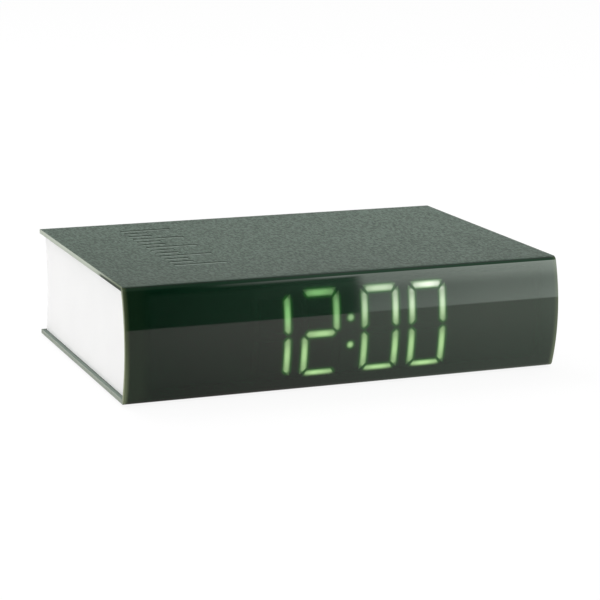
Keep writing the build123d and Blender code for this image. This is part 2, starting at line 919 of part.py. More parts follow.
# Buzzer behind the sound holes
with BuildPart() as buzzer:
    with BuildSketch(facing_front(panel_back + buzzer_height)):
        with Locations((sound_x, sound_z)):
            Circle(buzzer_radius)
    extrude(amount=buzzer_height)
    with BuildSketch(facing_front(panel_back + buzzer_height)):
        with Locations((sound_x, sound_z)):
            Circle(buzzer_port)
    extrude(amount=buzzer_port_depth, mode=Mode.SUBTRACT)
buzzer.part.label = "buzzer"
export_step(buzzer.part, "parts/buzzer.step")

# Parts on the inner side of the control board
chip_z = ribbon_rear_z + socket_tall / 2 + chip_rise + chip_side / 2
with BuildPart() as clock_chip:
    with BuildSketch(facing_front(panel_front)):
        with Locations((panel_left + chip_aside, chip_z)):
            Rectangle(chip_side, chip_side)
    extrude(amount=chip_height)
    chamfer(clock_chip.faces().sort_by(Axis.Y)[0].edges(), driver_edge)
clock_chip.part.label = "clock_chip"
export_step(clock_chip.part, "parts/clock_chip.step")

with BuildPart() as quartz_crystal:
    with BuildSketch(Plane.XY.offset((panel_low + panel_high - crystal_length) / 2)):
        with Locations((panel_left + crystal_aside, panel_front - crystal_radius)):
            Circle(crystal_radius)
    extrude(amount=crystal_length)
quartz_crystal.part.label = "quartz_crystal"
export_step(quartz_crystal.part, "parts/quartz_crystal.step")

with BuildPart() as capacitors:
    with BuildSketch(facing_front(panel_front)):
        with Locations((panel_right - capacitor_aside, (panel_low + panel_high) / 2)):
            with GridLocations(capacitor_pitch, 0, 2, 1):
                Circle(capacitor_radius)
    extrude(amount=capacitor_height)
    fillet(capacitors.faces().group_by(Axis.Y)[0].edges(), capacitor_edge)
capacitors.part.label = "capacitors"
export_step(capacitors.part, "parts/capacitors.step")

# Battery bay: box open below, with a rib between cells and an ear at each end
left_end = bay_x - battery_half
right_end = bay_x + battery_half
cell_rows = [bay_y + (row - (cell_count - 1) / 2) * cell_pitch for row in range(cell_count)]
with BuildPart() as battery_bay:
    with Locations((bay_x, bay_y, floor_top)):
        Box(2 * door_half, 2 * (bay_half + bay_wall), bay_top - floor_top, align=rising)
        Box(2 * battery_half, 2 * bay_half, bay_roof - floor_top, align=rising, mode=Mode.SUBTRACT)
    with Locations(*[(bay_x, (one + two) / 2, bay_top) for one, two in zip(cell_rows, cell_rows[1:])]):
        Box(
            cell_body,
            bay_rib,
            bay_wall + bay_rib_depth,
            align=(Align.CENTER, Align.CENTER, Align.MAX),
        )
    with Locations((bay_x, bay_y, floor_top + ear_lift)):
        Box(2 * (door_half + ear_reach), ear_width, ear_wall, align=rising)
        Box(2 * battery_half, ear_width, ear_wall, align=rising, mode=Mode.SUBTRACT)
    with Locations(*[(x, y, floor_top + ear_lift) for x, y in ear_places]):
        Cylinder(small_radius + thread_gap, ear_wall, align=rising, mode=Mode.SUBTRACT)
    # Slots in the roof for the tabs of the two terminals
    with Locations((left_end, cell_rows[0], bay_top), (right_end, cell_rows[-1], bay_top)):
        Box(
            2 * (contact_wall + seat_gap),
            tab_width + 2 * seat_gap,
            bay_wall,
            align=(Align.CENTER, Align.CENTER, Align.MAX),
            mode=Mode.SUBTRACT,
        )
battery_bay.part.label = "battery_bay"
export_step(battery_bay.part, "parts/battery_bay.step")

bay_screws = small_screws([Plane(origin=(x, y, ear_top), z_dir=(0, 0, 1)) for x, y in ear_places])
bay_screws.part.label = "bay_screws"
export_step(bay_screws.part, "parts/bay_screws.step")

# Cells side by side: front and rear ones with the nub to the right, the middle one to the left
cell_sides = {"cell_front": 1, "cell_middle": -1, "cell_rear": 1}
for (name, side), y in zip(cell_sides.items(), cell_rows):
    flat_end = bay_x - side * (battery_half - contact_wall - spring_reach)
    with BuildPart() as cell:
        with BuildSketch(Plane.YZ.offset(flat_end)):
            with Locations((y, cell_z)):
                Circle(cell_radius)
        extrude(amount=side * cell_body)
        fillet(cell.edges().filter_by(GeomType.CIRCLE), cell_round)
        with BuildSketch(Plane.YZ.offset(flat_end + side * cell_body)):
            with Locations((y, cell_z)):
                Circle(nub_radius)
        extrude(amount=side * nub_length)
    cell.part.label = name
    export_step(cell.part, f"parts/{name}.step")


def contact(end, inward, spring_row, dimple_row, tab_row):
    """Contact plate on one end wall of the bay.

    end is the wall's X and inward the sign of X away from it. Each row is the Y of a spring, of a
    dimple or of a tab, or None.
    """
    rows = [row for row in (spring_row, dimple_row) if row is not None]
    inner = end + inward * contact_wall
    with BuildPart() as plate:
        with BuildSketch(Plane.YZ.offset(end)):
            with Locations((sum(rows) / len(rows), cell_z)):
                Rectangle(max(rows) - min(rows) + contact_width, contact_height)
            if tab_row is not None:
                with Locations((tab_row, cell_z)):
                    Rectangle(tab_width, bay_top + tab_rise - cell_z, align=(Align.CENTER, Align.MIN))
        extrude(amount=inward * contact_wall)
        if dimple_row is not None:
            with BuildSketch(Plane.YZ.offset(inner)):
                with Locations((dimple_row, cell_z)):
                    Circle(dimple_radius)
            extrude(amount=inward * dimple_reach)
        if spring_row is not None:
            with BuildSketch(facing_front(spring_row)):
                with BuildLine():
                    Polyline(
                        (end + inward * contact_wall / 2, cell_z - contact_height / 3),
                        (inner + inward * (spring_reach - contact_wall), cell_z),
                        (inner + inward * spring_reach / 3, cell_z + contact_height / 3),
                    )
                trace(line_width=contact_wall)
            extrude(amount=spring_width / 2, both=True)
    return plate


front_row, middle_row, rear_row = cell_rows
negative_terminal = contact(left_end, 1, front_row, None, front_row)
negative_terminal.part.label = "negative_terminal"
export_step(negative_terminal.part, "parts/negative_terminal.step")
positive_terminal = contact(right_end, -1, None, rear_row, rear_row)
positive_terminal.part.label = "positive_terminal"
export_step(positive_terminal.part, "parts/positive_terminal.step")
right_link = contact(right_end, -1, middle_row, front_row, None)
right_link.part.label = "right_link"
export_step(right_link.part, "parts/right_link.step")
left_link = contact(left_end, 1, rear_row, middle_row, None)
left_link.part.label = "left_link"
export_step(left_link.part, "parts/left_link.step")

# Leads from the terminals' tabs to the control board
pad_x = panel_left + lead_aside
lead_ends = {
    "positive_lead": (right_end - contact_wall / 2, rear_row, pad_x, lead_step),
    "negative_lead": (left_end + contact_wall / 2, front_row, pad_x + lead_step, 2 * lead_step),
}
for name, (tab_x, tab_y, end_x, pad_rise) in lead_ends.items():
    pad_z = panel_low + pad_rise
    turn_y = min(tab_y, panel_front - lead_back)
    with BuildPart() as lead:
        with BuildLine() as route:
            FilletPolyline(
                (tab_x, tab_y, bay_top + tab_rise),
                (tab_x, tab_y, pad_z),
                (end_x, turn_y, pad_z),
                (end_x, panel_front, pad_z),
                radius=lead_bend,
            )
        with BuildSketch(Plane(origin=route.line @ 0, z_dir=route.line % 0)):
            Circle(lead_radius)
        sweep()
    lead.part.label = name
    export_step(lead.part, f"parts/{name}.step")

# Battery door: flush with the back cover, carried by rails that run above it
with BuildPart() as battery_door:
    with BuildSketch(Plane.XY.offset(base_z)) as panel:
        with Locations((bay_x, door_front)):
            Rectangle(2 * door_half, board_rear - door_front, align=(Align.CENTER, Align.MIN))
        fillet(panel.vertices().sort_by(Axis.Y)[:2], door_round)
    extrude(amount=inner_floor + seat_gap - base_z)
    with Locations((bay_x, door_front, inner_floor + seat_gap)):
        Box(
            2 * (door_half + door_rail),
            hollow_y(fore_radius, door_top) - door_front,
            rail_wall,
            align=(Align.CENTER, Align.MIN, Align.MIN),
        )
    with BuildSketch(Plane.XY.offset(base_z)):
        with Locations((bay_x, board_rear - grip_rear)):
            with GridLocations(0, grip_pitch, 1, grip_count):
                Rectangle(grip_width, grip_bar)
    extrude(amount=grip_depth, mode=Mode.SUBTRACT)
battery_door.part.label = "battery_door"
export_step(battery_door.part, "parts/battery_door.step")
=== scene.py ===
"""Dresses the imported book-shaped desk clock, in metres in the part's own frame."""

import json
import logging
import math
from dataclasses import dataclass
from enum import Enum
from functools import reduce
from typing import Dict, List, Tuple, Union

import bmesh
import bpy
from mathutils import Matrix, Vector


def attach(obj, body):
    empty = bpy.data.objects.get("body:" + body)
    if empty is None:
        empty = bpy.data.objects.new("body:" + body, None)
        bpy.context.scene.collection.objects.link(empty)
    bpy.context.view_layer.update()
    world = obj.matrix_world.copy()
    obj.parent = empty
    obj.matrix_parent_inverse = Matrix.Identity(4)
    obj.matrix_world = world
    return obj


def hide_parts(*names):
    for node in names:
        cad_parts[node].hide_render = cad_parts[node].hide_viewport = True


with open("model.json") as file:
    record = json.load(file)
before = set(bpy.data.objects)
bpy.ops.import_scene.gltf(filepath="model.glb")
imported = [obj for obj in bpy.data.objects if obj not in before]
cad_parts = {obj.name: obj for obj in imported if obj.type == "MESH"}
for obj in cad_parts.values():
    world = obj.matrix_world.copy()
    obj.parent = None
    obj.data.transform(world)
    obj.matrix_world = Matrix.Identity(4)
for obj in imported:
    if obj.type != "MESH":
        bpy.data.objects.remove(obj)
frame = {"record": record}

LOG = logging.getLogger("book_clock")
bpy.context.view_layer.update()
Triple = Tuple[float, float, float]
Colour = Triple
Socket = bpy.types.NodeSocket
Feed = Union[Socket, float]
BAR_INPUTS = ("X", "Z", "Middle X", "Middle Z", "Half X", "Half Z")


class Digit(Enum):
    """The four digits, by the name of their nodes, with the segments that are lit at 12:00."""

    HOUR_TENS = ("hour_tens", "bc")
    HOUR_UNITS = ("hour_units", "abged")
    MINUTE_TENS = ("minute_tens", "abcdef")
    MINUTE_UNITS = ("minute_units", "abcdef")

    @property
    def node(self) -> str:
        """Start of the digit's node names."""
        return self.value[0]

    @property
    def lit(self) -> str:
        """Letters of the lit segments."""
        return self.value[1]


@dataclass(frozen=True)
class BookPlan:
    """Sizes of the jacket that its finish follows, in metres."""

    half_length: float = 0.1
    page_half: float = 0.0978
    board_front: float = -0.06485
    board_rear: float = 0.06915
    base: float = 0.0008
    top: float = 0.0508
    middle: float = 0.0258
    spine_radius: float = 0.07482
    spine_centre: float = 0.00567
    spine_turn: float = 0.00177
    see_half: float = 0.0942
    see_low: float = 0.005
    see_high: float = 0.0486


@dataclass(frozen=True)
class DigitPlan:
    """Sizes of the digits, in metres."""

    aside: float = 0.00105
    height_at: float = 0.02485
    width: float = 0.0178
    height: float = 0.0386
    stroke: float = 0.0033
    # What a segment's middle line leaves free at each of its ends
    flat_end: float = 0.0036
    upright_end: float = 0.0032
    # Steps from digit to digit, across the colon and from dot to dot
    pitch: float = 0.0223
    colon_pitch: float = 0.0276
    colon_step: float = 0.012

    def middle_of(self, digit: Digit) -> float:
        """X of a digit's middle."""
        step = {"hour_tens": -1, "hour_units": 0, "minute_tens": 0, "minute_units": 1}[digit.node]
        side = -1 if digit in (Digit.HOUR_TENS, Digit.HOUR_UNITS) else 1
        return self.aside + side * self.colon_pitch / 2 + step * self.pitch

    def bars(self) -> List[Tuple[float, float, float, float]]:
        """Middle lines of the lit segments and dots.

        Returns:
            For each, the X and Z of its middle and its half lengths along X and Z.
        """
        reach = (self.width - self.stroke) / 2
        rise = (self.height - self.stroke) / 2
        flat = self.width / 2 - self.flat_end
        upright = self.height / 4 - self.upright_end
        shapes = {
            "a": (0.0, rise, flat, 0.0),
            "b": (reach, rise / 2, 0.0, upright),
            "c": (reach, -rise / 2, 0.0, upright),
            "d": (0.0, -rise, flat, 0.0),
            "e": (-reach, -rise / 2, 0.0, upright),
            "f": (-reach, rise / 2, 0.0, upright),
            "g": (0.0, 0.0, flat, 0.0),
        }
        found = []
        for digit in Digit:
            for letter in digit.lit:
                x, z, across, along = shapes[letter]
                found.append((self.middle_of(digit) + x, self.height_at + z, across, along))
        for side in (-1, 1):
            found.append((self.aside, self.height_at + side * self.colon_step / 2, 0.0, 0.0))
        return found


@dataclass(frozen=True)
class Ramp:
    """Smooth run from start to end, as a value goes from low to high."""

    low: float
    high: float
    start: float = 0.0
    end: float = 1.0


@dataclass(frozen=True)
class Waves:
    """Noise with its scale in waves per metre, its octaves, the fine ones' weight and its stretch."""

    scale: float
    detail: float = 3.0
    fine: float = 0.5
    stretch: Triple = (1.0, 1.0, 1.0)


class NodeSheet:
    """A node tree that is written as sums, products and mixes of sockets."""

    def __init__(self, tree: bpy.types.NodeTree) -> None:
        """Empties the tree of a material, a world or a group."""
        self.tree = tree
        tree.nodes.clear()

    def add(self, kind: str, **settings: object) -> bpy.types.Node:
        """Adds a node.

        Args:
            kind: Blender's name of the node type, without ShaderNode.
            settings: Properties of the node.

        Returns:
            The new node.
        """
        node = self.tree.nodes.new(f"ShaderNode{kind}")
        for name, value in settings.items():
            setattr(node, name, value)
        return node

    def feed(self, socket: Socket, value: object) -> None:
        """Links a socket to another one, or sets its value."""
        if isinstance(value, bpy.types.NodeSocket):
            self.tree.links.new(value, socket)
        elif socket.type == "RGBA" and len(value) == 3:
            socket.default_value = (*value, 1.0)
        else:
            socket.default_value = value

    def feed_all(self, node: bpy.types.Node, **values: object) -> None:
        """Feeds sockets of a node by their names, with underscores for spaces."""
        for name, value in values.items():
            self.feed(node.inputs[name.replace("_", " ")], value)

    def math(self, operation: str, first: Feed, second: Feed = 0.0) -> Socket:
        """Adds a Math node of one of Blender's operations, with a second number where it has one."""
        node = self.add("Math", operation=operation)
        self.feed(node.inputs[0], first)
        self.feed(node.inputs[1], second)
        return node.outputs[0]

    def times(self, *factors: Feed) -> Socket:
        """Product of two or more numbers."""
        return reduce(lambda first, second: self.math("MULTIPLY", first, second), factors)

    def plus(self, *terms: Feed) -> Socket:
        """Sum of two or more numbers."""
        return reduce(lambda first, second: self.math("ADD", first, second), terms)

    def less(self, first: Feed, second: Feed) -> Socket:
        """First number without the second."""
        return self.math("SUBTRACT", first, second)

    def rest(self, share: Feed) -> Socket:
        """What a share leaves of 1."""
        return self.math("SUBTRACT", 1.0, share)

    def most(self, first: Feed, second: Feed) -> Socket:
        """Greater of two numbers."""
        return self.math("MAXIMUM", first, second)

    def away(self, value: Feed, middle: Feed = 0.0) -> Socket:
        """Distance of a number from a middle."""
        return self.math("ABSOLUTE", self.less(value, middle) if middle else value)

    def toward_one(self, value: Socket, share: Feed) -> Socket:
        """Moves a number towards 1; a share of 1 gives 1."""
        return self.plus(value, self.times(share, self.rest(value)))

    def vary(self, base: float, pattern: Socket, reach: float) -> Socket:
        """Number that a pattern raises by up to reach."""
        return self.plus(base, self.times(pattern, reach))

    def length(self, first: Feed, second: Feed) -> Socket:
        """Length of a vector with two components."""
        return self.math("SQRT", self.plus(self.times(first, first), self.times(second, second)))

    def ramp(self, value: Feed, run: Ramp, at: float = 0.0) -> Socket:
        """Lays a smooth run on a number.

        Args:
            value: Number that drives the run.
            run: The run.
            at: Place that the run is measured from.

        Returns:
            The run's value.
        """
        node = self.add("MapRange", interpolation_type="SMOOTHSTEP")
        self.feed_all(
            node, Value=value, From_Min=at + run.low, From_Max=at + run.high, To_Min=run.start, To_Max=run.end
        )
        return node.outputs[0]

    def mix(self, share: Feed, first: object, second: object) -> Socket:
        """Mixes two colours; a share of 1 gives the second."""
        node = self.add("Mix", data_type="RGBA")
        self.feed(node.inputs[0], share)
        self.feed(node.inputs[6], first)
        self.feed(node.inputs[7], second)
        return node.outputs[2]

    def scaled(self, colour: Socket, factor: Feed) -> Socket:
        """Multiplies a colour by a number."""
        node = self.add("VectorMath", operation="SCALE")
        self.feed(node.inputs[0], colour)
        self.feed(node.inputs["Scale"], factor)
        return node.outputs[0]

    def place(self) -> Tuple[Socket, Socket, Socket, Socket]:
        """Object coordinates: the vector, then its X, Y and Z."""
        vector = self.add("TexCoord").outputs["Object"]
        parts = self.add("SeparateXYZ")
        self.feed(parts.inputs[0], vector)
        return vector, parts.outputs[0], parts.outputs[1], parts.outputs[2]

    def noise(self, vector: Socket, waves: Waves) -> Socket:
        """Noise about 0.5 on a vector in metres."""
        stretched = self.add("Mapping")
        self.feed_all(stretched, Vector=vector, Scale=waves.stretch)
        node = self.add("TexNoise")
        self.feed_all(
            node, Vector=stretched.outputs[0], Scale=waves.scale, Detail=waves.detail, Roughness=waves.fine
        )
        return node.outputs["Fac"]

    def bump(self, height: Socket, distance: float) -> Socket:
        """Normal of a height map, whose full range is distance metres."""
        node = self.add("Bump")
        self.feed_all(node, Height=height, Distance=distance, Strength=1.0)
        return node.outputs[0]

    def finish(self, **sockets: object) -> None:
        """Adds the output and the Principled shader, fed by names with underscores for spaces."""
        shader = self.add("BsdfPrincipled")
        self.feed_all(shader, **sockets)
        output = self.add("OutputMaterial")
        self.tree.links.new(shader.outputs[0], output.inputs["Surface"])


def new_sheet(name: str) -> Tuple[bpy.types.Material, NodeSheet]:
    """Makes an empty node material and its sheet."""
    material = bpy.data.materials.new(name)
    material.use_nodes = True
    return material, NodeSheet(material.node_tree)


class Finish:
    """A finish that is patterned on Object coordinates."""

    def build(self, name: str) -> bpy.types.Material:
        """Makes a material of the finish."""
        material, sheet = new_sheet(name)
        self.lay(sheet)
        return material

    def lay(self, sheet: NodeSheet) -> None:
        """Writes the finish on an empty sheet."""
        raise NotImplementedError


def brighter(colour: Colour, factor: float) -> Colour:
    """Multiplies a colour by a number, up to white."""
    red, green, blue = (min(1.0, part * factor) for part in colour)
    return red, green, blue


@dataclass(frozen=True)
class LeatherGrain:
    """Pebbled grain of a leathery moulded surface, in waves per metre and metres."""

    wander_scale: float = 600.0
    wander_reach: float = 0.0009
    pebble_scale: float = 850.0
    pebble_soft: float = 0.35
    pebble_run: Ramp = Ramp(0.1, 0.8, 1.0, 0.0)
    pebble_share: float = 0.3
    fine: Waves = Waves(1700.0, 2.0, stretch=(1.0, 0.45, 1.0))
    fine_share: float = 0.22
    fold: Waves = Waves(860.0, fine=0.7, stretch=(1.0, 0.4, 1.0))
    fold_run: Ramp = Ramp(0.32, 0.68)
    fold_share: float = 0.48
    mottle: Waves = Waves(55.0, 4.0, 0.6)
    colour_run: Ramp = Ramp(0.18, 0.72)
    mottle_run: Ramp = Ramp(0.3, 0.7, 0.86, 1.0)
    rough_run: Ramp = Ramp(0.2, 0.8, 0.58, 0.46)
    depth: float = 0.0004

    def lay(self, sheet: NodeSheet, vector: Socket) -> Tuple[Socket, Socket]:
        """Adds the grain to a sheet.

        Args:
            sheet: Sheet to write on.
            vector: Object coordinates.

        Returns:
            The height of the grain and the share of its light colour, both from 0 to 1.
        """
        wander = sheet.add("TexNoise")
        sheet.feed_all(wander, Vector=vector, Scale=self.wander_scale)
        drift = sheet.scaled(wander.outputs["Color"], self.wander_reach)
        warp = sheet.add("VectorMath", operation="ADD")
        sheet.feed(warp.inputs[0], vector)
        sheet.feed(warp.inputs[1], drift)
        cells = sheet.add("TexVoronoi", feature="SMOOTH_F1")
        sheet.feed_all(cells, Vector=warp.outputs[0], Scale=self.pebble_scale, Smoothness=self.pebble_soft)
        pebble = sheet.ramp(cells.outputs["Distance"], self.pebble_run)
        folds = sheet.ramp(sheet.noise(vector, self.fold), self.fold_run)
        height = sheet.plus(
            sheet.times(pebble, self.pebble_share),
            sheet.times(sheet.noise(vector, self.fine), self.fine_share),
            sheet.times(folds, self.fold_share),
        )
        mottle = sheet.noise(vector, self.mottle)
        return height, sheet.times(sheet.ramp(height, self.colour_run), sheet.ramp(mottle, self.mottle_run))


def spine_radius_at(sheet: NodeSheet, plan: BookPlan, y: Socket, z: Socket) -> Socket:
    """Distance of a point from the axis that the spine is bent around."""
    return sheet.length(sheet.less(y, plan.spine_centre), sheet.less(z, plan.middle))


@dataclass(frozen=True)
class CoverFinish(Finish):
    """Grained leathery covers of the tinted jacket, with lighter rims and a smooth ledge; the rims'
    lightness, the covers' slow shading, the pressed scale's sheen and the ledge's dark line are painted light
    and shade.
    """

    cover: Colour = (0.107, 0.166, 0.124)
    cover_dark: Colour = (0.045, 0.071, 0.052)
    # Painted sheen on the smooth floors of the pressed scale, lighter than the grain; painted shade on their
    # back walls
    pressed_sheen: Colour = (0.25, 0.3, 0.262)
    pressed_side_shade: Colour = (0.012, 0.022, 0.015)
    ledge: Colour = (0.13, 0.178, 0.143)
    # Painted shadow where the ledge runs under and along the foot of the pages
    ledge_shadow: Colour = (0.042, 0.06, 0.046)
    # Painted light on the cut ends, lighter than the tinted plastic where it is lit through; painted shade
    # towards the front, on the lower board and low on the top board's end near the front
    lit_rim: Colour = (0.52, 0.57, 0.48)
    rim_front_shade: Colour = (0.17, 0.21, 0.13)
    rim_low_shade: Colour = (0.3, 0.34, 0.285)
    rim_shadow: Colour = (0.03, 0.05, 0.03)
    # Painted light through the spine's tinted ends, lighter towards the inner face
    lit_spine_end: Colour = (0.24, 0.28, 0.165)
    lit_spine_end_inner: Colour = (0.55, 0.58, 0.44)
    # Measured outwards from the covers' outer faces
    grain_start: Ramp = Ramp(-0.00018, -0.00006)
    pressed_start: Ramp = Ramp(-0.0006, -0.0005)
    side_start: Ramp = Ramp(-0.0003, -0.00024)
    rim_shadow_depth: Ramp = Ramp(-0.0008, -0.0005, 1.0, 0.0)
    # Measured outwards from the covers' ends, the last one from the end of the pages
    within_ends: Ramp = Ramp(-0.0022, -0.002, 1.0, 0.0)
    rim_start: Ramp = Ramp(-0.00034, -0.00016)
    shadow_beside_pages: Ramp = Ramp(0.0, 0.0009, 1.0, 0.0)
    # Measured backwards from the covers' front edge, the first one from the turn into the spine
    turn_end: Ramp = Ramp(-0.0001, 0.0, 1.0, 0.0)
    spine_end_run: Ramp = Ramp(0.0, 0.002, 1.0, 0.0)
    rim_fade: Ramp = Ramp(0.002, 0.05)
    rim_shadow_fade: Ramp = Ramp(0.029, 0.036, 1.0, 0.12)
    # Painted shade along the left part of the covers' front edge
    painted_edge_shade: Ramp = Ramp(0.0008, 0.0045, 0.3, 1.0)
    # Measured outwards from the spine's outer face, and upwards from mid height
    inner_wall: Ramp = Ramp(-0.0021, -0.0012, 1.0, 0.0)
    upper_half: Ramp = Ramp(0.0, 0.001)
    # Painted shade and light, in runs along X and Y over the whole cover: darker towards the front, at the
    # left end and along the left part of the front edge, lighter towards the right rear
    front_shade: Ramp = Ramp(0.0, 0.08, 0.54, 0.76)
    front_fade: Ramp = Ramp(-0.07, 0.005)
    left_end: Ramp = Ramp(-0.1, -0.05)
    painted_left_shade: Ramp = Ramp(-0.01, 0.05, 0.7, 1.0)
    painted_rear_light: Ramp = Ramp(0.03, 0.069, 1.0, 1.08)
    painted_light_across: Ramp = Ramp(-0.02, 0.06)
    painted_light_back: Ramp = Ramp(-0.02, 0.05, 0.0, 0.22)
    painted_edge_shade_across: Ramp = Ramp(-0.04, 0.03)
    scale_back: Ramp = Ramp(0.06, 0.062, 1.0, 0.0)
    # Wear of the smooth surfaces
    worn: Waves = Waves(180.0)
    worn_run: Ramp = Ramp(0.2, 0.6, 0.92, 1.0)
    smooth: float = 0.42
    worn_rough: float = 0.12
    grain: LeatherGrain = LeatherGrain()
    plan: BookPlan = BookPlan()

    def shade(self, sheet: NodeSheet, x: Socket, y: Socket) -> Socket:
        """Slow changes of painted shade and painted light over the grained covers, as a factor of their light
        colour.
        """
        front = sheet.toward_one(sheet.ramp(x, self.front_shade), sheet.ramp(y, self.front_fade))
        left = sheet.toward_one(sheet.ramp(y, self.painted_left_shade), sheet.ramp(x, self.left_end))
        lift = sheet.times(sheet.ramp(x, self.painted_light_across), sheet.ramp(y, self.painted_light_back))
        edge = sheet.ramp(y, self.painted_edge_shade, self.plan.board_front)
        return sheet.times(
            front,
            left,
            sheet.ramp(y, self.painted_rear_light),
            sheet.plus(1.0, lift),
            sheet.most(edge, sheet.ramp(x, self.painted_edge_shade_across)),
        )

    def rims(self, sheet: NodeSheet, y: Socket, z: Socket, off: Socket, is_spine_end: Socket) -> Socket:
        """Colour of the jacket's two cut ends, with painted light where the tinted edges are lit through and
        painted shade towards the front, on the lower board and low on the top board's end near the front; off
        is the distance from mid height.
        """
        plan = self.plan
        half = plan.top - plan.middle
        above = sheet.ramp(z, self.upper_half, plan.middle)
        upper = sheet.mix(sheet.ramp(y, self.rim_fade, plan.board_front), self.rim_front_shade, self.lit_rim)
        lit_rim = sheet.mix(above, self.rim_low_shade, upper)
        # Painted shade low on the top board's end near the front
        deep = sheet.times(
            sheet.ramp(off, self.rim_shadow_depth, half), sheet.ramp(y, self.rim_shadow_fade, plan.board_front), above
        )
        lit_rim = sheet.mix(deep, lit_rim, self.rim_shadow)
        radius = spine_radius_at(sheet, plan, y, z)
        by_page = sheet.ramp(radius, self.inner_wall, plan.spine_radius)
        return sheet.mix(is_spine_end, lit_rim, sheet.mix(by_page, self.lit_spine_end, self.lit_spine_end_inner))

    def lay(self, sheet: NodeSheet) -> None:
        """Writes the finish."""
        plan = self.plan
        vector, x, y, z = sheet.place()
        far_x = sheet.away(x)
        off = sheet.away(z, plan.middle)
        half = plan.top - plan.middle
        # Zones, each 0 or 1 with a soft edge
        turn = sheet.ramp(y, self.turn_end, plan.board_front + plan.spine_turn)
        is_grain = sheet.most(sheet.ramp(off, self.grain_start, half), turn)
        is_pressed = sheet.times(
            sheet.ramp(off, self.pressed_start, half), sheet.ramp(far_x, self.within_ends, plan.half_length)
        )
        # Back walls of the pressed scale, which carry painted shade
        is_shaded_side = sheet.times(
            is_pressed, sheet.ramp(off, self.side_start, half), sheet.ramp(y, self.scale_back)
        )
        is_rim = sheet.ramp(far_x, self.rim_start, plan.half_length)
        is_spine_end = sheet.times(is_rim, sheet.ramp(y, self.spine_end_run, plan.board_front))
        # Colours
        grain, lightness = self.grain.lay(sheet, vector)
        # The light colour's share is scaled by the painted shade and painted light of shade()
        cover = sheet.mix(sheet.times(lightness, self.shade(sheet, x, y)), self.cover_dark, self.cover)
        # Painted shadow on the ledge at the foot of the pages
        ledge = sheet.mix(sheet.ramp(far_x, self.shadow_beside_pages, plan.page_half), self.ledge, self.ledge_shadow)
        # Pressed floors get painted sheen, their back walls painted shade
        flat = sheet.mix(is_shaded_side, sheet.mix(is_pressed, ledge, self.pressed_sheen), self.pressed_side_shade)
        colour = sheet.mix(is_grain, flat, cover)
        worn = sheet.noise(vector, self.worn)
        rims = self.rims(sheet, y, z, off, is_spine_end)
        colour = sheet.mix(sheet.times(is_rim, sheet.ramp(worn, self.worn_run)), colour, rims)
        smooth = sheet.vary(self.smooth, worn, self.worn_rough)
        rough = sheet.less(sheet.ramp(grain, self.grain.rough_run), smooth)
        sheet.finish(
            Base_Color=colour,
            Roughness=sheet.plus(smooth, sheet.times(is_grain, rough)),
            Normal=sheet.bump(sheet.times(grain, is_grain), self.grain.depth),
        )


@dataclass(frozen=True)
class SpineFinish(Finish):
    """Polished tinted spine, see-through over the mask, with painted light in lighter bands at its two ends.
    """

    tint: Colour = (0.0019, 0.0132, 0.0056)
    tint_light: float = 1.25
    lit_band: Colour = (0.05, 0.07, 0.033)
    lit_band_low: Colour = (0.15, 0.185, 0.105)
    solid: float = 0.72
    gloss: float = 0.72
    index: float = 1.585
    # Measured outwards from the spine's outer face
    outer_face: Ramp = Ramp(-0.0012, -0.001)
    # Measured from the edges of the see-through part, outwards and upwards
    see_ends: Ramp = Ramp(-0.007, 0.0, 1.0, 0.0)
    see_foot: Ramp = Ramp(0.0, 0.003)
    see_head: Ramp = Ramp(-0.003, 0.0, 1.0, 0.0)
    # Painted light: lighter bands where light shows through the tinted ends, measured from the ends, from the
    # see-through part's left edge and from the base
    lit_band_start: Ramp = Ramp(-0.0038, -0.0002)
    lit_band_power: float = 3.0
    left_haze: Ramp = Ramp(0.0, 0.007, 0.07, 0.0)
    lit_band_rise: Ramp = Ramp(0.0, 0.033, 1.0, 0.0)
    # Clouds in the tint, smears on the polish and the slow waves of the moulded face
    cloud: Waves = Waves(26.0, stretch=(1.0, 1.0, 0.4))
    cloud_run: Ramp = Ramp(0.3, 0.75)
    smear: Waves = Waves(45.0, 4.0)
    polish: float = 0.015
    smear_rough: float = 0.035
    wave: Waves = Waves(24.0, 1.0, stretch=(1.0, 0.3, 0.3))
    wave_depth: float = 0.00008
    plan: BookPlan = BookPlan()

    def lay(self, sheet: NodeSheet) -> None:
        """Writes the finish."""
        plan = self.plan
        vector, x, y, z = sheet.place()
        far_x = sheet.away(x)
        outer = sheet.ramp(spine_radius_at(sheet, plan, y, z), self.outer_face, plan.spine_radius)
        over_mask = sheet.times(
            sheet.ramp(far_x, self.see_ends, plan.see_half),
            sheet.ramp(z, self.see_foot, plan.see_low),
            sheet.ramp(z, self.see_head, plan.see_high),
        )
        alpha = sheet.rest(sheet.times(over_mask, sheet.rest(sheet.times(outer, self.solid))))
        # Alpha dims gloss and tint too, so both are raised by as much where the spine is see-through
        share = sheet.most(alpha, self.solid)
        # Painted light at the ends, near the see-through part's left edge and lighter towards the base
        ends = sheet.math("POWER", sheet.ramp(far_x, self.lit_band_start, plan.half_length), self.lit_band_power)
        is_lit_band = sheet.most(ends, sheet.ramp(x, self.left_haze, -plan.see_half))
        lit_band = sheet.mix(sheet.ramp(z, self.lit_band_rise, plan.base), self.lit_band, self.lit_band_low)
        cloud = sheet.ramp(sheet.noise(vector, self.cloud), self.cloud_run)
        tint = sheet.mix(cloud, self.tint, brighter(self.tint, self.tint_light))
        tint = sheet.scaled(tint, sheet.math("DIVIDE", 1.0, share))
        sheet.finish(
            Base_Color=sheet.mix(is_lit_band, tint, lit_band),
            Roughness=sheet.vary(self.polish, sheet.noise(vector, self.smear), self.smear_rough),
            IOR=self.index,
            Specular_IOR_Level=sheet.math("DIVIDE", self.gloss, share),
            Alpha=alpha,
            Normal=sheet.bump(sheet.noise(vector, self.wave), self.wave_depth),
        )


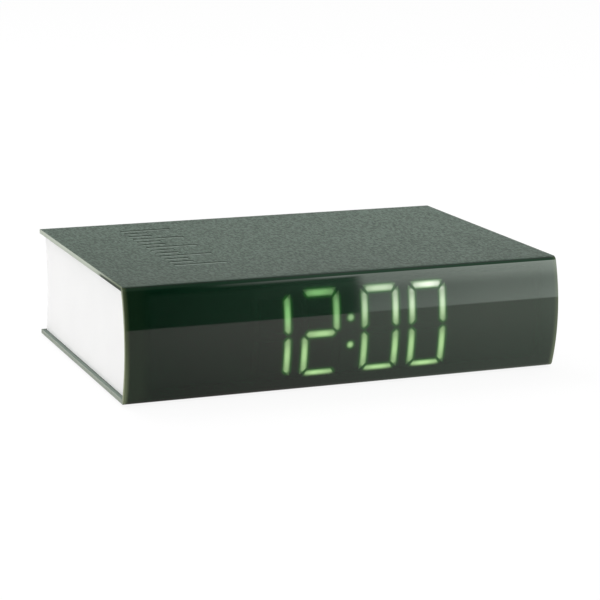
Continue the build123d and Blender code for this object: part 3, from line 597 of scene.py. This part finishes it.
@dataclass(frozen=True)
class Jacket:
    """Cover jacket: one moulding with grained covers and a polished see-through spine."""

    plan: BookPlan = BookPlan()
    covers: CoverFinish = CoverFinish()
    spine: SpineFinish = SpineFinish()
    spine_reach: float = 0.0021
    turn_from: float = 0.0235
    turn_tilt: float = 0.37
    flat_tilt: float = 0.03

    def is_spine(self, face: bpy.types.MeshPolygon) -> bool:
        """Whether a face belongs to the polished spine, outside or inside."""
        at_turn = abs(face.center.z - self.plan.middle) > self.turn_from
        tilt = self.turn_tilt if at_turn else self.flat_tilt
        return face.center.y < self.plan.board_front + self.spine_reach and abs(face.normal.y) > tilt

    def build(self) -> None:
        """Makes the shown jacket from the CAD jacket's own shape, with a finish for each zone."""
        mesh = bpy.data.objects["cover_jacket"].data.copy()
        mesh.name = "jacket"
        mesh.materials.clear()
        mesh.materials.append(self.covers.build("jacket_covers"))
        mesh.materials.append(self.spine.build("jacket_spine"))
        for face in mesh.polygons:
            face.material_index = 1 if self.is_spine(face) else 0
        jacket = bpy.data.objects.new("jacket", mesh)
        bpy.context.scene.collection.objects.link(jacket)
        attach(jacket, "clock")
        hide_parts("cover_jacket")
        LOG.info("built jacket with %d faces", len(mesh.polygons))


@dataclass(frozen=True)
class GlowField:
    """Distance to the lit segments, for the light pipes and the mask around them."""

    plan: DigitPlan = DigitPlan()
    far: float = 1.0

    def group(self) -> bpy.types.NodeTree:
        """Node group that gives the distance to one bar, from its middle and half lengths."""
        tree = bpy.data.node_groups.new("bar_distance", "ShaderNodeTree")
        for name in BAR_INPUTS:
            tree.interface.new_socket(name, in_out="INPUT", socket_type="NodeSocketFloat")
        for name in ("Distance", "Along"):
            tree.interface.new_socket(name, in_out="OUTPUT", socket_type="NodeSocketFloat")
        sheet = NodeSheet(tree)
        given = tree.nodes.new("NodeGroupInput").outputs
        result = tree.nodes.new("NodeGroupOutput").inputs
        runs = [sheet.away(given[axis], given[f"Middle {axis}"]) for axis in "XZ"]
        gaps = [sheet.most(sheet.less(run, given[f"Half {axis}"]), 0.0) for run, axis in zip(runs, "XZ")]
        sheet.feed(result["Distance"], sheet.length(*gaps))
        sheet.feed(result["Along"], sheet.length(*runs))
        return tree

    def lay(self, sheet: NodeSheet, x: Socket, z: Socket) -> Tuple[Socket, Socket]:
        """Adds the field to a sheet.

        Args:
            sheet: Sheet to write on.
            x: Object coordinate X.
            z: Object coordinate Z.

        Returns:
            The distance to the nearest bar's middle line, and to the nearest bar's middle.
        """
        tree = bpy.data.node_groups.get("bar_distance") or self.group()
        nearest: Feed = self.far
        middle: Feed = self.far
        for bar in self.plan.bars():
            node = sheet.add("Group")
            node.node_tree = tree
            for name, value in zip(BAR_INPUTS, (x, z, *bar)):
                sheet.feed(node.inputs[name], value)
            nearest = sheet.math("MINIMUM", nearest, node.outputs["Distance"])
            middle = sheet.math("MINIMUM", middle, node.outputs["Along"])
        return nearest, middle


@dataclass(frozen=True)
class LitPipeFinish(Finish):
    """Milky light pipes, bright along their middle and softer at their ends, with a painted reflection of the
    soft box on the top segments to the right.
    """

    body: Colour = (0.3, 0.42, 0.26)
    core: Colour = (0.43, 1.0, 0.33)
    warm: Colour = (0.62, 1.0, 0.43)
    pale: Colour = (0.8, 1.0, 0.68)
    softbox_reflection: Colour = (0.98, 1.0, 0.92)
    edge: Colour = (0.16, 0.6, 0.1)
    strength: float = 2.1
    rough: float = 0.35
    # Runs away from a segment's middle line and from its middle
    across: Ramp = Ramp(0.0004, 0.0019, 1.0, 0.25)
    along: Ramp = Ramp(0.001, 0.0082, 1.0, 0.5)
    # Slow unevenness of the light
    cloud: Waves = Waves(160.0)
    cloud_run: Ramp = Ramp(0.2, 0.8, 0.86, 1.08)
    # Parts of the display
    right_part: Ramp = Ramp(-0.01, 0.016)
    low_part: Ramp = Ramp(0.024, 0.036, 1.0, 0.0)
    reflection_rows: Ramp = Ramp(0.039, 0.041)
    hours_part: Ramp = Ramp(-0.004, 0.0, 1.0, 0.0)
    # What they add to the colour and the strength of the light
    # Painted reflection of the soft box: the top segments to the right turn whiter and brighter
    reflection_run: Ramp = Ramp(0.018, 0.04, 0.0, 0.6)
    warm_level: Ramp = Ramp(0.0, 1.0, 0.76, 1.03)
    pale_gain: float = 0.08
    foot_gain: Ramp = Ramp(0.007, 0.013, 0.24, 0.0)
    reflection_gain: Ramp = Ramp(0.012, 0.04, 0.0, 0.5)
    hours_gain: Ramp = Ramp(-0.03, -0.014, 0.09, -0.07)
    colon_loss: Ramp = Ramp(0.003, 0.004, 0.12, 0.0)
    glow: GlowField = GlowField()

    def lay(self, sheet: NodeSheet) -> None:
        """Writes the finish."""
        vector, x, _, z = sheet.place()
        near, middle = self.glow.lay(sheet, x, z)
        core = sheet.ramp(near, self.across)
        cloud = sheet.ramp(sheet.noise(vector, self.cloud), self.cloud_run)
        right = sheet.ramp(x, self.right_part)
        low = sheet.ramp(z, self.low_part)
        top = sheet.ramp(z, self.reflection_rows)
        is_warm = sheet.most(right, low)
        is_pale = sheet.times(right, sheet.rest(low))
        centre = sheet.mix(is_pale, sheet.mix(is_warm, self.core, self.warm), self.pale)
        # Painted reflection of the soft box on the top segments
        centre = sheet.mix(sheet.times(top, sheet.ramp(x, self.reflection_run)), centre, self.softbox_reflection)
        level = sheet.plus(
            sheet.ramp(is_warm, self.warm_level),
            sheet.times(is_pale, self.pale_gain),
            sheet.ramp(z, self.foot_gain),
            sheet.times(top, sheet.ramp(x, self.reflection_gain)),
            sheet.times(sheet.ramp(x, self.hours_part), sheet.rest(low), sheet.ramp(x, self.hours_gain)),
        )
        level = sheet.less(level, sheet.ramp(sheet.away(x, self.glow.plan.aside), self.colon_loss))
        sheet.finish(
            Base_Color=self.body,
            Roughness=self.rough,
            Emission_Color=sheet.mix(core, self.edge, centre),
            Emission_Strength=sheet.times(core, sheet.ramp(middle, self.along), cloud, level, self.strength),
        )


@dataclass(frozen=True)
class MaskFinish(Finish):
    """Dull black mask with a painted glow around the lit segments, for the light that the tint spreads there.
    """

    body: Colour = (0.012, 0.013, 0.012)
    # Colour of the painted glow
    haze: Colour = (0.1, 0.6, 0.07)
    strength: float = 0.42
    reach: Ramp = Ramp(0.0012, 0.0036, 1.0, 0.0)
    reach_power: float = 2.0
    speck: Waves = Waves(2500.0, 2.0)
    speck_light: float = 1.6
    rough: float = 0.6
    speck_rough: float = 0.15
    glow: GlowField = GlowField()

    def lay(self, sheet: NodeSheet) -> None:
        """Writes the finish."""
        vector, x, _, z = sheet.place()
        near, _ = self.glow.lay(sheet, x, z)
        # Painted glow: the mask emits where the segments' scattered light falls
        haze = sheet.math("POWER", sheet.ramp(near, self.reach), self.reach_power)
        speck = sheet.noise(vector, self.speck)
        sheet.finish(
            Base_Color=sheet.mix(speck, self.body, brighter(self.body, self.speck_light)),
            Roughness=sheet.vary(self.rough, speck, self.speck_rough),
            Emission_Color=self.haze,
            Emission_Strength=sheet.times(haze, self.strength),
        )


@dataclass(frozen=True)
class MouldedFinish(Finish):
    """Moulded plastic or rubber with a fine texture and slow changes of shade."""

    colour: Colour
    rough: float = 0.4
    shade: float = 0.06
    texture: float = 1600.0
    relief: float = 0.00002
    texture_rough: float = 0.08
    texture_fine: float = 0.6
    slow: Waves = Waves(35.0, 4.0)
    slow_run: Ramp = Ramp(0.3, 0.7)

    def lay(self, sheet: NodeSheet) -> None:
        """Writes the finish."""
        vector, _, _, _ = sheet.place()
        slow = sheet.ramp(sheet.noise(vector, self.slow), self.slow_run)
        fine = sheet.noise(vector, Waves(self.texture, fine=self.texture_fine))
        dark = brighter(self.colour, 1 - self.shade)
        sheet.finish(
            Base_Color=sheet.mix(slow, dark, brighter(self.colour, 1 + self.shade)),
            Roughness=sheet.vary(self.rough, fine, self.texture_rough),
            Normal=sheet.bump(fine, self.relief),
        )


@dataclass(frozen=True)
class GrainedFinish(Finish):
    """Opaque grained plastic of the battery door, like the back cover around it."""

    light: Colour = (0.105, 0.162, 0.121)
    dark: Colour = (0.045, 0.071, 0.052)
    edge: Colour = (0.13, 0.178, 0.143)
    edge_start: Ramp = Ramp(-0.0005, -0.0003)
    grain: LeatherGrain = LeatherGrain()
    plan: BookPlan = BookPlan()

    def lay(self, sheet: NodeSheet) -> None:
        """Writes the finish."""
        vector, _, y, _ = sheet.place()
        grain, lightness = self.grain.lay(sheet, vector)
        at_edge = sheet.ramp(y, self.edge_start, self.plan.board_rear)
        sheet.finish(
            Base_Color=sheet.mix(at_edge, sheet.mix(lightness, self.dark, self.light), self.edge),
            Roughness=sheet.ramp(grain, self.grain.rough_run),
            Normal=sheet.bump(sheet.times(grain, sheet.rest(at_edge)), self.grain.depth),
        )


@dataclass(frozen=True)
class MetalFinish(Finish):
    """Plated sheet or screw steel with fine drawing lines."""

    colour: Colour
    rough: float = 0.28
    lines: Triple = (60.0, 2400.0, 2400.0)
    line_rough: float = 0.2
    line_depth: float = 0.000012
    dull: Waves = Waves(220.0, 4.0, 0.6)
    dull_light: float = 0.82

    def lay(self, sheet: NodeSheet) -> None:
        """Writes the finish."""
        vector, _, _, _ = sheet.place()
        drawn = sheet.noise(vector, Waves(1.0, stretch=self.lines))
        dull = sheet.noise(vector, self.dull)
        sheet.finish(
            Base_Color=sheet.mix(dull, brighter(self.colour, self.dull_light), self.colour),
            Metallic=1.0,
            Roughness=sheet.vary(self.rough, drawn, self.line_rough),
            Normal=sheet.bump(drawn, self.line_depth),
        )


@dataclass(frozen=True)
class BoardFinish(Finish):
    """Lacquered circuit board with copper runs under the lacquer and tinned pads."""

    lacquer: Colour = (0.012, 0.11, 0.045)
    copper: Colour = (0.03, 0.2, 0.07)
    pad: Colour = (0.62, 0.6, 0.55)
    run_scale: float = 90.0
    run_gap: float = 0.035
    run_length: float = 0.6
    run_pitch: float = 0.16
    run_offset: float = 0.35
    run_squash: float = 1.6
    pad_scale: float = 210.0
    pad_scatter: float = 0.55
    pad_run: Ramp = Ramp(0.13, 0.16, 1.0, 0.0)
    relief: float = 0.00004
    rough: float = 0.22
    scuff: Waves = Waves(300.0)
    scuff_rough: float = 0.12

    def lay(self, sheet: NodeSheet) -> None:
        """Writes the finish."""
        vector, x, _, z = sheet.place()
        flat = sheet.add("CombineXYZ")
        sheet.feed_all(flat, X=x, Y=z)
        runs = sheet.add("TexBrick", offset=self.run_offset, squash=self.run_squash, squash_frequency=3)
        sheet.feed_all(
            runs,
            Vector=flat.outputs[0],
            Scale=self.run_scale,
            Mortar_Size=self.run_gap,
            Brick_Width=self.run_length,
            Row_Height=self.run_pitch,
        )
        spots = sheet.add("TexVoronoi")
        sheet.feed_all(spots, Vector=flat.outputs[0], Scale=self.pad_scale, Randomness=self.pad_scatter)
        pads = sheet.ramp(spots.outputs["Distance"], self.pad_run)
        board = sheet.mix(runs.outputs["Fac"], self.lacquer, self.copper)
        sheet.finish(
            Base_Color=sheet.mix(pads, board, self.pad),
            Roughness=sheet.vary(self.rough, sheet.noise(vector, self.scuff), self.scuff_rough),
            Normal=sheet.bump(sheet.plus(runs.outputs["Fac"], pads), self.relief),
        )


@dataclass(frozen=True)
class CellFinish(Finish):
    """Small dry cell: plain two-tone sleeve between bright steel ends."""

    sleeve: Colour = (0.05, 0.055, 0.055)
    collar: Colour = (0.42, 0.3, 0.14)
    steel: Colour = (0.7, 0.7, 0.68)
    middle: float = -0.04895
    half: float = 0.02165
    # Measured outwards from the cell's ends
    end_start: Ramp = Ramp(-0.0009, -0.0006)
    collar_start: Ramp = Ramp(-0.0105, -0.0101)
    rough: float = 0.24
    scuff: Waves = Waves(260.0, 4.0, 0.6)
    scuff_rough: float = 0.16

    def lay(self, sheet: NodeSheet) -> None:
        """Writes the finish."""
        vector, x, _, _ = sheet.place()
        far = sheet.away(x, self.middle)
        is_end = sheet.ramp(far, self.end_start, self.half)
        colour = sheet.mix(sheet.ramp(far, self.collar_start, self.half), self.sleeve, self.collar)
        sheet.finish(
            Base_Color=sheet.mix(is_end, colour, self.steel),
            Metallic=is_end,
            Roughness=sheet.vary(self.rough, sheet.noise(vector, self.scuff), self.scuff_rough),
        )


@dataclass(frozen=True)
class RibbonFinish(Finish):
    """Flat cable with its wires side by side, painted shade in the grooves between them and one marked edge.
    """

    wire: Colour = (0.42, 0.44, 0.46)
    # Painted shade in the grooves between the wires
    shaded_groove: Colour = (0.2, 0.21, 0.22)
    mark: Colour = (0.5, 0.05, 0.04)
    start: float = 0.039
    pitch: float = 0.00127
    wire_run: Ramp = Ramp(0.15, 0.5)
    mark_end: Ramp = Ramp(0.001143, 0.00127, 1.0, 0.0)
    relief: float = 0.00015
    rough: float = 0.38
    scuff: Waves = Waves(400.0)
    scuff_rough: float = 0.12

    def lay(self, sheet: NodeSheet) -> None:
        """Writes the finish."""
        vector, x, _, _ = sheet.place()
        across = sheet.math("DIVIDE", sheet.less(x, self.start), self.pitch)
        wave = sheet.away(sheet.math("SINE", sheet.times(across, math.pi)))
        # Grooves between the wires get painted shade
        colour = sheet.mix(sheet.ramp(wave, self.wire_run), self.shaded_groove, self.wire)
        sheet.finish(
            Base_Color=sheet.mix(sheet.ramp(x, self.mark_end, self.start), colour, self.mark),
            Roughness=sheet.vary(self.rough, sheet.noise(vector, self.scuff), self.scuff_rough),
            Normal=sheet.bump(wave, self.relief),
        )


@dataclass(frozen=True)
class CapacitorFinish(Finish):
    """Capacitor can: dark sleeve with a pale stripe and a bare aluminium end."""

    sleeve: Colour = (0.012, 0.014, 0.04)
    stripe: Colour = (0.4, 0.42, 0.44)
    bare: Colour = (0.75, 0.75, 0.76)
    end: float = 0.04665
    end_run: Ramp = Ramp(-0.00005, 0.00005, 1.0, 0.0)
    stripe_start: Ramp = Ramp(0.0322, 0.0324)
    rough: float = 0.25
    scuff: Waves = Waves(500.0)
    scuff_rough: float = 0.15

    def lay(self, sheet: NodeSheet) -> None:
        """Writes the finish."""
        vector, _, y, z = sheet.place()
        bare = sheet.ramp(y, self.end_run, self.end)
        colour = sheet.mix(sheet.ramp(z, self.stripe_start), self.sleeve, self.stripe)
        sheet.finish(
            Base_Color=sheet.mix(bare, colour, self.bare),
            Metallic=bare,
            Roughness=sheet.vary(self.rough, sheet.noise(vector, self.scuff), self.scuff_rough),
        )


FINISHES: Dict[str, Finish] = {
    "door": GrainedFinish(),
    "pages": MouldedFinish((0.9, 0.9, 0.895), 0.5, 0.01, 700.0, 0.00001),
    "mask": MaskFinish(),
    "reflector": MouldedFinish((0.8, 0.8, 0.78), 0.45),
    "lit_pipes": LitPipeFinish(),
    "dark_pipes": MouldedFinish((0.02, 0.026, 0.02), 0.4),
    "circuit_board": BoardFinish(),
    "light_chips": MouldedFinish((0.72, 0.75, 0.42), 0.25, 0.1),
    "chip_black": MouldedFinish((0.018, 0.018, 0.019), 0.5, 0.2, 4000.0, 0.00002),
    "small_steel": MetalFinish((0.62, 0.62, 0.63), 0.24, (900.0, 900.0, 900.0)),
    "steel_sheet": MetalFinish((0.7, 0.7, 0.69)),
    "contact_nickel": MetalFinish((0.74, 0.72, 0.67), 0.2, (2400.0, 80.0, 2400.0)),
    "capacitor_can": CapacitorFinish(),
    "button_cap": MouldedFinish((0.8, 0.8, 0.79), 0.42, 0.02, 1800.0, 0.000012),
    "plunger": MouldedFinish((0.22, 0.22, 0.23), 0.4),
    "socket": MouldedFinish((0.76, 0.73, 0.64), 0.35, 0.03),
    "ribbon": RibbonFinish(),
    "bay": MouldedFinish((0.03, 0.03, 0.032), 0.45, 0.1, 1500.0, 0.00003),
    "cell": CellFinish(),
    "lead_red": MouldedFinish((0.5, 0.02, 0.015), 0.35, 0.05, 2500.0),
    "lead_black": MouldedFinish((0.015, 0.015, 0.015), 0.35, 0.1, 2500.0),
    "foot": MouldedFinish((0.03, 0.03, 0.03), 0.7, 0.15, 2200.0, 0.00004, 0.12),
}


def dress_nodes() -> None:
    """Gives each CAD node that the record lists the finish of its material slot, where this script has a
    finish for that slot.
    """
    made = {slot: finish.build(f"{slot}_finish") for slot, finish in FINISHES.items()}
    slots = {part["node"]: part["material_slot"] for part in frame["record"]["subparts"]}
    for node, slot in sorted(slots.items()):
        if slot not in made:
            continue
        obj = bpy.data.objects[node]
        if obj.material_slots:
            for held in obj.material_slots:
                held.material = made[slot]
        else:
            obj.data.materials.append(made[slot])
        LOG.info("dressed %s with %s", node, made[slot].name)


@dataclass(frozen=True)
class Surroundings:
    """World that is white to the camera and a dim studio with soft boxes to glossy surfaces.

    Each run goes along X, Y or Z of the direction that a ray takes, from -1 to 1.
    """

    ambient: float = 0.72
    front_light: float = 0.578
    front_part: Ramp = Ramp(-0.25, 0.1, 1.0, 0.0)
    above_floor: Ramp = Ramp(-0.0504, -0.0408)
    # Large soft box in front to the right, brighter up and outwards
    box_lean: Ramp = Ramp(0.243, 0.405, 0.0, 0.002)
    box_edge: Ramp = Ramp(0.3835, 0.3905)
    box_low: Ramp = Ramp(-0.03, 0.154, 2.5, 2.16)
    box_high: Ramp = Ramp(0.16, 0.4, 0.0, 2.3)
    box_right: Ramp = Ramp(0.385, 0.48, 0.74, 1.22)
    far_right: Ramp = Ramp(0.462, 0.478, 1.0, 1.16)
    box_top: Ramp = Ramp(0.45, 0.58, 1.0, 0.0)
    box_lit: Ramp = Ramp(0.0, 0.5)
    # Bright line along the top of the soft box, which fades to the left
    line_start: Ramp = Ramp(0.309, 0.327)
    line_parts: Tuple[Ramp, ...] = (
        Ramp(0.31, 0.36, 0.0, 1.75),
        Ramp(0.36, 0.383, 0.0, 2.4),
        Ramp(0.39, 0.47, 0.0, 2.8),
    )
    # Second soft box far to the left, which the photograph's view doesn't meet
    second_box: Ramp = Ramp(-0.5, -0.35, 1.6, 0.0)
    # Walls, ceiling and the room behind the object
    wall: Ramp = Ramp(0.285, 0.375, 0.0, 0.2)
    wall_haze: Ramp = Ramp(0.325, 0.375, 0.0, 0.22)
    haze_rise: Ramp = Ramp(0.15, 0.33)
    ceiling: Ramp = Ramp(0.45, 0.6, 0.0, 0.2)
    rear_part: Ramp = Ramp(-0.1, 0.3)
    rear_fall: Ramp = Ramp(0.1, 0.6, 0.85, 0.1)
    # Floor's tone, which rises to the right and falls towards the object
    floor_right: Ramp = Ramp(0.24, 0.5, 0.48, 1.42)
    floor_near: Ramp = Ramp(-0.7, -0.06, 0.7, 1.0)
    # Colours of the light
    white: Colour = (1.0, 1.0, 1.0)
    box_hue: Colour = (0.95, 1.06, 0.96)
    dim_hue: Colour = (0.72, 1.3, 0.88)
    dim_right: Ramp = Ramp(0.12, 0.24)
    floor_hue_left: Colour = (1.1, 0.97, 0.97)
    floor_hue_right: Colour = (0.98, 1.05, 0.93)
    floor_hue_run: Ramp = Ramp(0.33, 0.42)

    def soft_box(self, sheet: NodeSheet, x: Socket, y: Socket, z: Socket) -> Socket:
        """Strength of the large soft box and of the line along its top, in a direction X, Y, Z."""
        inside = sheet.ramp(sheet.plus(x, sheet.ramp(z, self.box_lean)), self.box_edge)
        rise = sheet.plus(sheet.ramp(z, self.box_low), sheet.ramp(z, self.box_high))
        box = sheet.times(inside, rise, sheet.ramp(x, self.box_right), sheet.ramp(x, self.far_right))
        line = sheet.plus(*(sheet.ramp(x, part) for part in self.line_parts))
        line = sheet.times(line, sheet.ramp(z, self.line_start))
        return sheet.times(
            sheet.most(box, line), sheet.ramp(z, self.box_top), sheet.ramp(y, self.front_part)
        )

    def studio(self, sheet: NodeSheet, x: Socket, y: Socket, z: Socket, box: Socket, above: Socket) -> Socket:
        """Strength of the whole studio.

        Args:
            sheet: Sheet to write on.
            x, y, z: The direction.
            box: Strength of the large soft box.
            above: Zone above the studio's floor.

        Returns:
            The strength.
        """
        second = sheet.times(sheet.ramp(x, self.second_box), sheet.ramp(z, self.box_top))
        haze = sheet.times(sheet.ramp(x, self.wall_haze), sheet.ramp(z, self.haze_rise))
        front = sheet.plus(box, second, sheet.ramp(x, self.wall), haze, sheet.ramp(z, self.ceiling))
        rear = sheet.times(sheet.ramp(y, self.rear_part), sheet.ramp(z, self.rear_fall))
        upper = sheet.plus(sheet.times(front, self.front_light), rear)
        tone = sheet.times(sheet.ramp(x, self.floor_right), sheet.ramp(z, self.floor_near))
        tone = sheet.times(tone, sheet.ramp(x, self.far_right), self.front_light)
        return sheet.plus(sheet.times(upper, above), sheet.times(tone, sheet.rest(above)))

    def hue(
        self, sheet: NodeSheet, x: Socket, y: Socket, box: Socket, above: Socket, shiny: Socket
    ) -> Socket:
        """Colour of the light.

        Args:
            sheet: Sheet to write on.
            x, y: The direction.
            box: Strength of the large soft box.
            above: Zone above the studio's floor.
            shiny: Whether a glossy or clear surface sent the ray.

        Returns:
            The colour.
        """
        lit = sheet.ramp(box, self.box_lit)
        dark = sheet.times(shiny, above, sheet.rest(lit))
        dark = sheet.times(dark, sheet.ramp(y, self.front_part), sheet.ramp(x, self.dim_right))
        hue = sheet.mix(sheet.times(shiny, lit), self.white, self.box_hue)
        hue = sheet.mix(dark, hue, self.dim_hue)
        earth = sheet.mix(sheet.ramp(x, self.floor_hue_run), self.floor_hue_left, self.floor_hue_right)
        return sheet.mix(sheet.times(shiny, sheet.rest(above)), hue, earth)

    def build(self) -> None:
        """Makes the world."""
        world = bpy.data.worlds.new("studio")
        bpy.context.scene.world = world
        world.use_nodes = True
        sheet = NodeSheet(world.node_tree)
        parts = sheet.add("SeparateXYZ")
        sheet.feed(parts.inputs[0], sheet.add("TexCoord").outputs["Generated"])
        x, y, z = parts.outputs
        path = sheet.add("LightPath").outputs
        shiny = sheet.most(path["Is Glossy Ray"], path["Is Transmission Ray"])
        above = sheet.ramp(z, self.above_floor)
        box = self.soft_box(sheet, x, y, z)
        contrast = sheet.less(self.studio(sheet, x, y, z, box, above), self.ambient)
        power = sheet.plus(self.ambient, sheet.times(shiny, contrast))
        background = sheet.add("Background")
        sheet.feed_all(
            background,
            Color=self.hue(sheet, x, y, box, above, shiny),
            Strength=sheet.toward_one(power, path["Is Camera Ray"]),
        )
        output = sheet.add("OutputWorld")
        sheet.feed(output.inputs["Surface"], background.outputs[0])


@dataclass(frozen=True)
class Lamp:
    """Square soft lamp, with its side in metres and its power in watts, which no glossy surface shows."""

    name: str
    place: Triple
    side: float
    power: float

    def build(self, target: Triple) -> None:
        """Adds the lamp, looking at a target."""
        data = bpy.data.lights.new(self.name, "AREA")
        data.shape = "SQUARE"
        data.size = self.side
        data.energy = self.power
        lamp = bpy.data.objects.new(self.name, data)
        lamp.location = self.place
        aim = Vector(target) - Vector(self.place)
        lamp.rotation_euler = aim.to_track_quat("-Z", "Y").to_euler()
        lamp.visible_glossy = False
        bpy.context.scene.collection.objects.link(lamp)


@dataclass(frozen=True)
class Studio:
    """White floor and surroundings, lamps and the photograph's camera."""

    azimuth: float = -21.677
    elevation: float = 12.808
    roll: float = 0.583
    distance: float = 0.9362
    target: Triple = (0.004831, 0.00215, 0.02346)
    focal_px: float = 2038.389
    frame_px: float = 600.0
    sensor: float = 36.0
    view_reach: float = 50.0
    floor_side: float = 12.0
    floor_colour: Colour = (0.9, 0.9, 0.9)
    floor_glow: float = 1.03
    floor_glow_share: float = 0.86
    surroundings: Surroundings = Surroundings()
    lamps: Tuple[Lamp, ...] = (
        Lamp("key_lamp", (-0.4, 0.9, 1.6), 0.8, 8.0),
        Lamp("page_lamp", (-1.6, 0.1, 0.5), 0.9, 6.6),
        Lamp("side_lamp", (1.1, -1.1, 0.8), 0.9, 5.0),
    )

    def camera(self) -> None:
        """Makes the camera that fits the photograph."""
        turn = math.radians(self.azimuth)
        lift = math.radians(self.elevation)
        back = Vector((math.sin(turn) * math.cos(lift), -math.cos(turn) * math.cos(lift), math.sin(lift)))
        right = Vector((0, 0, 1)).cross(back).normalized()
        up = back.cross(right)
        lean = math.radians(self.roll)
        axis_x = math.cos(lean) * right + math.sin(lean) * up
        axis_y = -math.sin(lean) * right + math.cos(lean) * up
        data = bpy.data.cameras.new("photo_camera")
        data.sensor_fit = "HORIZONTAL"
        data.sensor_width = self.sensor
        data.lens = self.focal_px * self.sensor / self.frame_px
        data.clip_end = self.view_reach
        camera = bpy.data.objects.new("photo_camera", data)
        spot = Vector(self.target) + back * self.distance
        turned = Matrix((axis_x, axis_y, back)).transposed().to_4x4()
        camera.matrix_world = Matrix.Translation(spot) @ turned
        bpy.context.scene.collection.objects.link(camera)
        bpy.context.scene.camera = camera

    def floor(self) -> None:
        """Makes the pale floor, nearly white to the camera and with the object's shadow."""
        mesh = bpy.data.meshes.new("floor")
        shape = bmesh.new()
        bmesh.ops.create_grid(shape, x_segments=1, y_segments=1, size=self.floor_side / 2)
        shape.to_mesh(mesh)
        shape.free()
        floor = bpy.data.objects.new("floor", mesh)
        bpy.context.scene.collection.objects.link(floor)
        material, sheet = new_sheet("floor_finish")
        diffuse = sheet.add("BsdfDiffuse")
        sheet.feed_all(diffuse, Color=self.floor_colour)
        glow = sheet.add("Emission")
        sheet.feed_all(glow, Strength=self.floor_glow)
        seen = sheet.add("LightPath").outputs["Is Camera Ray"]
        mixed = sheet.add("MixShader")
        sheet.feed(mixed.inputs[0], sheet.times(seen, self.floor_glow_share))
        sheet.feed(mixed.inputs[1], diffuse.outputs[0])
        sheet.feed(mixed.inputs[2], glow.outputs[0])
        output = sheet.add("OutputMaterial")
        sheet.feed(output.inputs["Surface"], mixed.outputs[0])
        floor.data.materials.append(material)
        floor.visible_glossy = False

    def build(self) -> None:
        """Builds the whole studio."""
        self.camera()
        self.floor()
        self.surroundings.build()
        for lamp in self.lamps:
            lamp.build(self.target)
        bpy.context.scene.view_settings.view_transform = "Standard"
        LOG.info("studio ready")


def main() -> None:
    """Builds the clock's look in order and reports each piece."""
    logging.basicConfig(level=logging.INFO, format="%(message)s")
    Studio().build()
    Jacket().build()
    dress_nodes()


if __name__ == "__main__":
    main()
